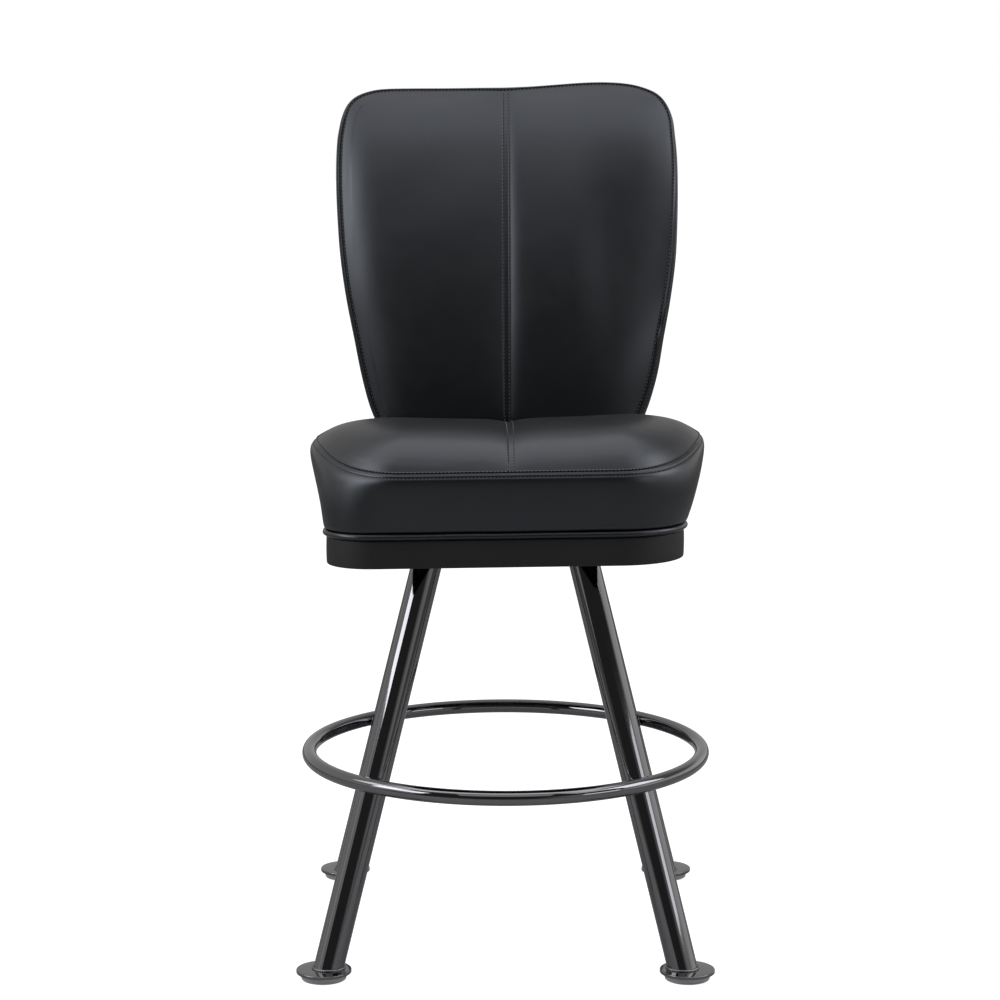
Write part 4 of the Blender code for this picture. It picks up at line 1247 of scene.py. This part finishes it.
def back_loop():
    """Closed outline of the back in its own plane, counter-clockwise from below."""
    st = np.array(BACK_SIDES)
    v = np.linspace(0.030, 0.455, 60)
    left = hermite(st[:, [0, 1]], v)
    right = hermite(st[:, [0, 2]], v)
    low_r = fillet_path([(0, 0), (0.1705, 0.0), (right[0], v[0])], [0, 0.022, 0])
    low_l = fillet_path([(left[0], v[0]), (-0.1645, 0.0), (0, 0)], [0, 0.022, 0])
    # upper right lobe stands a little higher than the left
    top_r = hermite(((0.0, 0.5230), (0.0345, 0.5246), (0.0770, 0.5278), (0.1100, 0.5302),
                     (0.1400, 0.5308), (0.1660, 0.5293), (0.1870, 0.5256), (0.2050, 0.5195)),
                    np.linspace(0.0, 0.2050, 40))
    top_r = np.column_stack([np.linspace(0.0, 0.2050, 40), top_r])[::-1]
    top_l = hermite(((-0.1990, 0.5162), (-0.1840, 0.5199), (-0.1650, 0.5214),
                     (-0.1350, 0.5219), (-0.0800, 0.5221), (-0.0300, 0.5228), (0.0, 0.5230)),
                    np.linspace(-0.1990, 0.0, 40))
    top_l = np.column_stack([np.linspace(-0.1990, 0.0, 40), top_l])[::-1]
    side_r = np.array([(right[-1], v[-1]), (0.2371, 0.4778), (0.2322, 0.4919),
                       (0.2233, 0.5062), (0.2164, 0.5129), (0.2112, 0.5164)])
    side_l = np.array([(-0.2137, 0.5102), (-0.2252, 0.4990), (-0.2324, 0.4805),
                       (left[-1], v[-1])])
    loop = np.vstack([low_r[:-1], np.column_stack([right, v]), side_r[1:], top_r, top_l[1:],
                      side_l, np.column_stack([left, v])[::-1][1:], low_l[1:-1]])
    loop[:, 1] += 0.0018 * smooth01((loop[:, 1] - 0.36) / 0.14)
    return dense_loop(loop, smooth=34)


def back_seam_x(v):
    return 0.0001 + (0.5225 - v) * 0.0042


def back_to_world(p):
    """(across, up the back, towards the sitter) to world coordinates."""
    s, c = math.sin(BACK_TILT), math.cos(BACK_TILT)
    x, v, w = p[:, 0], p[:, 1], p[:, 2]
    return np.column_stack([x, SWIVEL_Y + BACK_Y0 + v * s - w * c, BACK_Z0 + v * c + w * s])


BACK_SEAM_W = 0.0185
# how the front of the back bows from its foot to its top edge
BACK_BOW = ((0.000, -0.0120), (0.060, -0.0032), (0.140, 0.0048), (0.220, 0.0085),
            (0.300, 0.0078), (0.380, 0.0034), (0.450, -0.0026), (0.5400, -0.0110))


def back_cushion():
    nx, ny = 80, 150
    outline = back_loop()
    nrm_all = loop_normals(outline)
    # how far the front seam sits inside the outline: close at the top and left, further
    # in on the lower right, where more of the boxing shows
    up = np.clip(outline[:, 1] / BACK_LENGTH, 0, 1)
    right = np.clip(nrm_all[:, 0], 0, 1)
    inset = (0.0052 + 0.0060 * right * (1 - 1.35 * up)
             - 0.0044 * np.clip(nrm_all[:, 1], 0, 1) ** 1.5)
    kernel = np.hanning(201)
    kernel /= kernel.sum()
    inset = np.convolve(np.concatenate([inset[-100:], inset, inset[:100]]), kernel, "valid")
    seam = outline - nrm_all * inset[:, None]
    lay = Layout(seam, back_seam_x(0.0), back_seam_x(BACK_LENGTH),
                 {False: math.radians(48), True: math.radians(48)}, FLAT_STEPS, nx, ny)
    n = lay.count
    # the inset at each of the layout's edge points
    near = np.array([int(np.argmin(((seam[::8] - p) ** 2).sum(1))) for p in lay.edge]) * 8
    own_inset = inset[near]

    def front_w(p, d):
        v = p[:, 1]
        w = BACK_SEAM_W + hermite(BACK_BOW, np.clip(v, 0.0, 0.54))
        w += 0.0040 * (1 - np.exp(-d / 0.0065)) + 0.0190 * inwards(p, seam, 0.024)
        t = np.clip(v / BACK_LENGTH, 0, 1)
        belly = np.sin(math.pi * t) ** 1.2
        dx = p[:, 0] - back_seam_x(v)
        ad = np.abs(dx)
        reach = 1 - np.exp(-d / 0.022)
        w -= 0.0092 * valley(dx, 0.038, 0.0175) * reach
        w += 0.0012 * np.exp(-((ad - 0.085) / 0.055) ** 2) * reach * belly
        # the right panel is fullest near the middle and falls a little towards the edge
        w -= (0.0075 * smooth01((dx - 0.088) / 0.062) * np.exp(-((v - 0.29) / 0.110) ** 2)
              * (1 - np.exp(-d / 0.014)))
        return w

    points, seam_d, mid_d, faces, rings = [], [], [], [], []
    for d in SEAM_STEPS:
        p = lay.ring(d)
        w = front_w(p, np.full(n, d))
        rings.append(list(range(len(points), len(points) + n)))
        points.extend(np.column_stack([p, w]))
        seam_d.extend([d] * n)
        mid_d.extend(lay.mid)
    for a, b in zip(rings, rings[1:]):
        faces += ring_faces(a, b)
    inner = lay.ring(SEAM_STEPS[-1])
    new, more, grids = lay.fill(inner, len(points), rings[-1])
    d_new = nearest_distance(new, seam)
    points.extend(np.column_stack([new, front_w(new, d_new)]))
    seam_d.extend(d_new)
    mid_d.extend([1.0] * len(new))
    for grid in grids:
        for k, d in enumerate(lay.fine):
            for i in grid[k, 1:-1]:
                mid_d[i] = d
    faces += more
    top_count = len(points)

    # boxing: out from the front seam, round, and back to the rear seam
    lows = []
    rear_len = []
    for i in range(n):
        s = own_inset[i]
        w0 = front_w(lay.edge[i:i + 1], np.zeros(1))[0]
        c1 = bezier((0.0, w0), (0.60 * s, w0 - 0.0020), (s, w0 - 0.0050), (s, w0 - 0.0135), 40)
        c2 = bezier((s, w0 - 0.0135), (s + 0.0004, 0.0), (s - 0.0002, -0.016),
                    (s - 0.0022, -0.0262), 60)
        c3 = bezier((s - 0.0022, -0.0262), (s - 0.0030, -0.0290), (s - 0.0046, -BACK_REAR_FACE),
                    (s - 0.0075, -BACK_REAR_FACE), 30)
        c = np.vstack([c1, c2[1:], c3[1:]])
        length = np.concatenate([[0.0], np.cumsum(np.linalg.norm(np.diff(c, axis=0), axis=1))])
        rear = length[40 + 59]                              # where the rear seam runs
        mids = np.linspace(SEAM_STEPS[-1], rear - 0.0066, 12)[1:]
        tail = rear - np.array(SEAM_STEPS[1:13])[::-1]
        after = rear + np.array([0.0] + SEAM_STEPS[1:13])
        d = np.concatenate([SEAM_STEPS[1:], mids, tail[tail > mids[-1] + 1e-4], after])
        row = np.stack([np.interp(d, length, c[:, k]) for k in (0, 1)], 1)
        nr = lay.normal[i]
        lows.append(np.column_stack([lay.edge[i, 0] + nr[0] * row[:, 0],
                                     lay.edge[i, 1] + nr[1] * row[:, 0], row[:, 1],
                                     -d, d - rear]))
    count = min(len(r) for r in lows)
    lows = np.array([r[:count] for r in lows])
    rear_d = [1.0] * len(points)
    previous = rings[0]
    low_rows = []
    for k in range(lows.shape[1]):
        row = list(range(len(points), len(points) + n))
        low_rows.append(row)
        points.extend(lows[:, k, :3])
        seam_d.extend(lows[:, k, 3])
        mid_d.extend([1.0] * n)
        rear_d.extend(lows[:, k, 4])
        faces += ring_faces(previous, row)
        previous = row
    # rear panel: flat against the brackets
    last = lows[:, -1, :2]
    middle = np.array([0.0, BACK_LENGTH / 2])
    for share in (0.985, 0.955, 0.91):
        row = list(range(len(points), len(points) + n))
        ring = middle + (last - middle) * share
        points.extend(np.column_stack([ring, np.full(n, -BACK_REAR_FACE)]))
        seam_d.extend([-1.0] * n)
        mid_d.extend([1.0] * n)
        rear_d.extend([1.0] * n)
        faces += ring_faces(previous, row)
        previous = row
    new, more, _ = lay.fill(ring, len(points), previous)
    points.extend(np.column_stack([new, np.full(len(new), -BACK_REAR_FACE)]))
    seam_d.extend([-1.0] * len(new))
    mid_d.extend([1.0] * len(new))
    rear_d.extend([1.0] * len(new))
    faces += [tuple(reversed(f)) for f in more]
    return (lay, np.array(points), faces, np.array(seam_d), np.array(mid_d),
            np.array(rear_d), rings, grids, top_count, low_rows, lows)


def finish_back():
    (lay, points, faces, seam_d, mid_d, rear_d, rings, grids, top_count, low_rows,
     lows) = back_cushion()
    nrm = sign_out(points, faces)
    beside = [(rings[k], SEAM_STEPS[k]) for k in range(1, 11)]
    beside += [(low_rows[k - 1], SEAM_STEPS[k]) for k in range(1, 11)]
    nrm = steady_normals(nrm, [rings[0]] + beside)
    idx = np.arange(len(points))
    top = idx < top_count
    move = np.where(seam_d > -0.9, seam_profile(seam_d), 0.0)
    fade = np.clip(np.abs(seam_d) / 0.006, 0, 1)
    move += np.where(top, flat_seam_profile(mid_d) * fade, 0.0)
    move += np.where(np.abs(rear_d) < 0.02,
                     seam_profile(rear_d, crease=0.0012, roll=0.0002, row=0.0), 0.0)
    quiet = smooth01(np.abs(seam_d) / 0.040) * smooth01(mid_d / 0.025)
    move += np.where(top, sway(points, 11, 0.0007, (0.07, 0.22)) * quiet, 0.0)
    points = points + nrm * move[:, None]
    w = back_to_world(points)
    ob = add_mesh("back_cushion", w, faces, VINYL, "seat",
                  ["back_front_cover", "back_rear_cover", "back_foam_front",
                   "back_foam_rear"])
    nrm = sign_out(w, faces)
    k, low = SEAM_STEPS.index(STITCH_AT), low_rows[SEAM_STEPS.index(STITCH_LOW) - 1]
    stitches("back_edge_stitches",
             [(w[rings[k]], nrm[rings[k]], True), (w[low], nrm[low], True)],
             BACK_PITCH, 0.56 * BACK_PITCH, 0.00058, "seat")
    k = FLAT_STEPS.index(0.0034)
    runs = [(w[col], nrm[col], False) for col in middle_run(lay, rings, grids, k)]
    stitches("back_middle_stitches", runs, BACK_PITCH, 0.56 * BACK_PITCH, 0.00058, "seat")
    return w


back_points = finish_back()


# --------------------------------------------------------------- brackets and bolts
def bracket_path():
    """Side view of the bracket's face towards the board and the back."""
    s, c = math.sin(BACK_TILT), math.cos(BACK_TILT)
    w = BACK_REAR_FACE + GAP

    def on_back(v):
        return np.array([BACK_Y0 + v * s + w * c, BACK_Z0 + v * c - w * s])

    top, foot = on_back(BRACKET_UP), on_back(0.0)
    t = (BRACKET_TOP_Z - foot[1]) / (top[1] - foot[1])
    corner = (foot[0] + t * (top[0] - foot[0]), BRACKET_TOP_Z)
    return fillet_path([(BRACKET_Y0, BRACKET_TOP_Z), corner, tuple(top)],
                       [0, BRACKET_BEND_R, 0], steps=18)


def bar_section(width, thick, r, n=5):
    """Section of a flat bar with eased edges; its face lies on the path."""
    pts = []
    for cx, cy, a0 in ((width / 2 - r, -r, 0), (-width / 2 + r, -r, 90),
                       (-width / 2 + r, -thick + r, 180), (width / 2 - r, -thick + r, 270)):
        for k in range(n + 1):
            a = math.radians(a0 + 90 * k / n)
            pts.append((cx + r * math.cos(a), cy + r * math.sin(a)))
    return np.array(pts)


for side, s in (("left", -1), ("right", 1)):
    raw = bracket_path()
    path = [raw[0]]
    for a, b in zip(raw, raw[1:]):                          # finer along the straights
        cuts = max(int(np.linalg.norm(b - a) / 0.012), 1)
        for k in range(1, cuts + 1):
            path.append(a + (b - a) * k / cuts)
    path = np.array(path)
    t = unit(np.gradient(path, axis=0))
    inner = np.column_stack([-t[:, 1], t[:, 0]])            # towards the board and the back
    length = np.concatenate([[0.0], np.cumsum(np.linalg.norm(np.diff(path, axis=0), axis=1))])
    ends = np.minimum(length, length[-1] - length)
    # rounded plan corners at both ends
    r = 0.010
    pinch = np.where(ends < r, r - np.sqrt(np.maximum(r ** 2 - (r - ends) ** 2, 0)), 0.0)
    extra = [0.0, 0.0006, 0.0016, 0.0032, 0.0055, 0.010]
    full = np.unique(np.round(np.concatenate([length, extra, length[-1] - np.array(extra)]), 6))
    pp = np.stack([np.interp(full, length, path[:, k]) for k in (0, 1)], 1)
    nn = unit(np.stack([np.interp(full, length, inner[:, k]) for k in (0, 1)], 1))
    ends = np.minimum(full, length[-1] - full)
    pinch = np.where(ends < r, r - np.sqrt(np.maximum(r ** 2 - (r - ends) ** 2, 0)), 0.0)
    sec = np.array([bar_section(BRACKET_WIDTH - 2 * p, BRACKET_T, 0.0008) for p in pinch])
    path3 = np.column_stack([np.full(len(pp), s * BRACKET_X), pp[:, 0] + SWIVEL_Y, pp[:, 1]])
    up3 = np.column_stack([np.zeros(len(nn)), nn[:, 0], nn[:, 1]])
    across = np.tile([1.0, 0.0, 0.0], (len(pp), 1))
    verts, faces = sweep(path3, across, up3, sec, closed=False, caps=True)
    add_mesh("bracket_bar_" + side, verts, faces, BLACK_STEEL, "seat",
             ["back_bracket_" + side], angle=40)


def button_head(name, origin, axis, tip, node):
    """Domed socket head and plain shank; origin is the head's seat, axis points out."""
    n = 48
    axis = unit(np.array(axis, float))
    side = unit(np.cross(axis, [1.0, 0.0, 0.0]))
    other = np.cross(axis, side)
    a = np.arange(n) * 2 * math.pi / n
    hexa = 0.0029 * math.cos(math.pi / 6) / np.cos((a % (math.pi / 3)) - math.pi / 6)

    def ring(r, h):
        r = np.broadcast_to(r, (n,))
        return (np.array(origin) + axis * h
                + (r * np.cos(a))[:, None] * side + (r * np.sin(a))[:, None] * other)

    rings = [ring(0.0034, -tip), ring(0.0040, -tip + 0.0006), ring(0.0040, 0.0),
             ring(0.0072, 0.0), ring(0.0075, 0.0003), ring(0.0074, 0.0014),
             ring(0.0068, 0.0027), ring(0.0058, 0.0036), ring(0.0047, 0.0041),
             ring(0.0040, 0.0042), ring(hexa + 0.0002, 0.0042), ring(hexa, 0.0040),
             ring(hexa, 0.0020), ring(hexa * 0.4, 0.0016)]
    verts = np.concatenate(rings + [np.array([np.array(origin) + axis * 0.0014,
                                              np.array(origin) - axis * tip])])
    idx = [list(range(i * n, i * n + n)) for i in range(len(rings))]
    faces = []
    for p, q in zip(idx, idx[1:]):
        faces += ring_faces(p, q)
    faces += [(idx[-1][i], idx[-1][(i + 1) % n], len(verts) - 2) for i in range(n)]
    faces += [(idx[0][(i + 1) % n], idx[0][i], len(verts) - 1) for i in range(n)]
    add_mesh(name, verts, faces, FASTENER, "seat", [node], angle=35)


for side, s in (("left", -1), ("right", 1)):
    for label, y in zip(("inner", "outer"), SEAT_BOLT_Y):
        face = BRACKET_TOP_Z - BRACKET_T - GAP
        button_head("seat_bolt_%s_%s" % (side, label), (s * BRACKET_X, SWIVEL_Y + y, face),
                    (0, 0, -1), 0.5790 - face, "bracket_bolt_%s_%s" % (side, label))
    for label, v in zip(("lower", "upper"), BACK_BOLT_V):
        w = -(BACK_REAR_FACE + GAP + BRACKET_T + GAP)
        at = back_to_world(np.array([[s * BRACKET_X, v, w]]))[0]
        out = back_to_world(np.array([[s * BRACKET_X, v, w - 1.0]]))[0] - at
        button_head("back_screw_%s_%s" % (side, label), at, out, 0.0310,
                    "back_bolt_%s_%s" % (side, label))


# --------------------------------------------------------------- floor, world and lights
def floor():
    n, rows = 96, [0.0, 0.3, 0.8, 2.0, 5.0, 14.0, 40.0]
    prof = [(r, 0.0) for r in rows]
    verts, faces = lathe(prof, n, (0.0, 0.0, -0.0004))
    mesh = bpy.data.meshes.new("floor")
    mesh.from_pydata([tuple(v) for v in verts], [], faces)
    mat, tree, shader, at = material("pale_floor")
    shader.inputs["Base Color"].default_value = (0.42, 0.42, 0.42, 1.0)
    shader.inputs["Roughness"].default_value = 0.9
    shader.inputs["Specular IOR Level"].default_value = 0.1
    shader.inputs["Emission Color"].default_value = (1.0, 1.0, 1.0, 1.0)
    # overexposed to the camera, as in a studio shot; much less bright in reflections
    rays = tree.nodes.new("ShaderNodeLightPath")
    glow = maths(tree, "MULTIPLY", rays.outputs["Is Camera Ray"], 0.95)
    tree.links.new(glow, shader.inputs["Emission Strength"])
    mesh.materials.append(mat)
    ob = bpy.data.objects.new("floor", mesh)
    scene.collection.objects.link(ob)


floor()

# the studio: pale walls at the sides and behind, the right one low and brighter, dark on
# the side where the camera stands
studio = bpy.data.worlds.new("studio")
scene.world = studio
studio.use_nodes = True
tree = studio.node_tree
tree.nodes.clear()
out = tree.nodes.new("ShaderNodeOutputWorld")
coord = tree.nodes.new("ShaderNodeTexCoord")
split = tree.nodes.new("ShaderNodeSeparateXYZ")
tree.links.new(coord.outputs["Generated"], split.inputs["Vector"])
ahead = remap(tree, split.outputs["Y"], -0.05, -0.45, 0.0, 1.0, smooth=True)
low = remap(tree, split.outputs["Z"], 0.97, 0.70, 0.0, 1.0, smooth=True)
dark = maths(tree, "MULTIPLY", ahead, low)
level = remap(tree, dark, 0.0, 1.0, 0.50, 0.040)
right = remap(tree, split.outputs["X"], 0.24, 0.70, 0.0, 1.0, smooth=True)
wall = remap(tree, split.outputs["Z"], 0.27, 0.42, 0.42, -0.30, smooth=True)
level = maths(tree, "ADD", level, maths(tree, "MULTIPLY", right, wall))
level = maths(tree, "MAXIMUM", level, 0.050)
lit = tree.nodes.new("ShaderNodeBackground")
lit.inputs["Color"].default_value = (1.0, 0.99, 0.97, 1.0)
tree.links.new(level, lit.inputs["Strength"])
seen = tree.nodes.new("ShaderNodeBackground")
seen.inputs["Color"].default_value = (1.0, 1.0, 1.0, 1.0)
seen.inputs["Strength"].default_value = 1.0
rays = tree.nodes.new("ShaderNodeLightPath")
choose = tree.nodes.new("ShaderNodeMixShader")
tree.links.new(rays.outputs["Is Camera Ray"], choose.inputs["Fac"])
tree.links.new(lit.outputs["Background"], choose.inputs[1])
tree.links.new(seen.outputs["Background"], choose.inputs[2])
tree.links.new(choose.outputs["Shader"], out.inputs["Surface"])


def softbox(name, location, target, width, height, level, colour=(0.95, 0.97, 1.0)):
    """A rectangular light whose face has the given brightness."""
    data = bpy.data.lights.new(name, "AREA")
    data.shape = "RECTANGLE"
    data.size, data.size_y = width, height
    data.energy = level * math.pi * width * height
    data.color = colour
    ob = bpy.data.objects.new(name, data)
    ob.location = location
    ob.rotation_euler = (Vector(target) - Vector(location)).to_track_quat("-Z", "Y").to_euler()
    scene.collection.objects.link(ob)
    return ob


softbox("softbox_left", (-2.10, -1.15, 1.56), (0.0, 0.0, 0.75), 1.4, 0.85, 4.2)
softbox("softbox_left_low", (-2.10, -1.15, 0.75), (0.0, 0.0, 0.5), 1.2, 0.8, 0.45)
softbox("softbox_left_side", (-2.30, -0.30, 2.20), (0.0, 0.0, 0.85), 1.6, 1.0, 2.2)
softbox("softbox_right", (1.85, -1.30, 2.60), (0.0, 0.0, 0.85), 1.2, 1.2, 1.2)
softbox("softbox_right_low", (2.10, -1.65, 0.92), (0.2, -0.2, 0.3), 1.0, 0.45, 2.0)
softbox("softbox_right_side", (2.30, -0.20, 1.95), (0.0, 0.0, 0.85), 1.4, 1.2, 3.4)
softbox("softbox_top", (0.0, -0.22, 1.75), (0.0, -0.20, 0.6), 2.2, 1.05, 1.30)
softbox("softbox_front", (0.0, -2.3, 2.7), (0.0, 0.1, 0.9), 2.6, 1.3, 0.6)

bpy.context.view_layer.update()
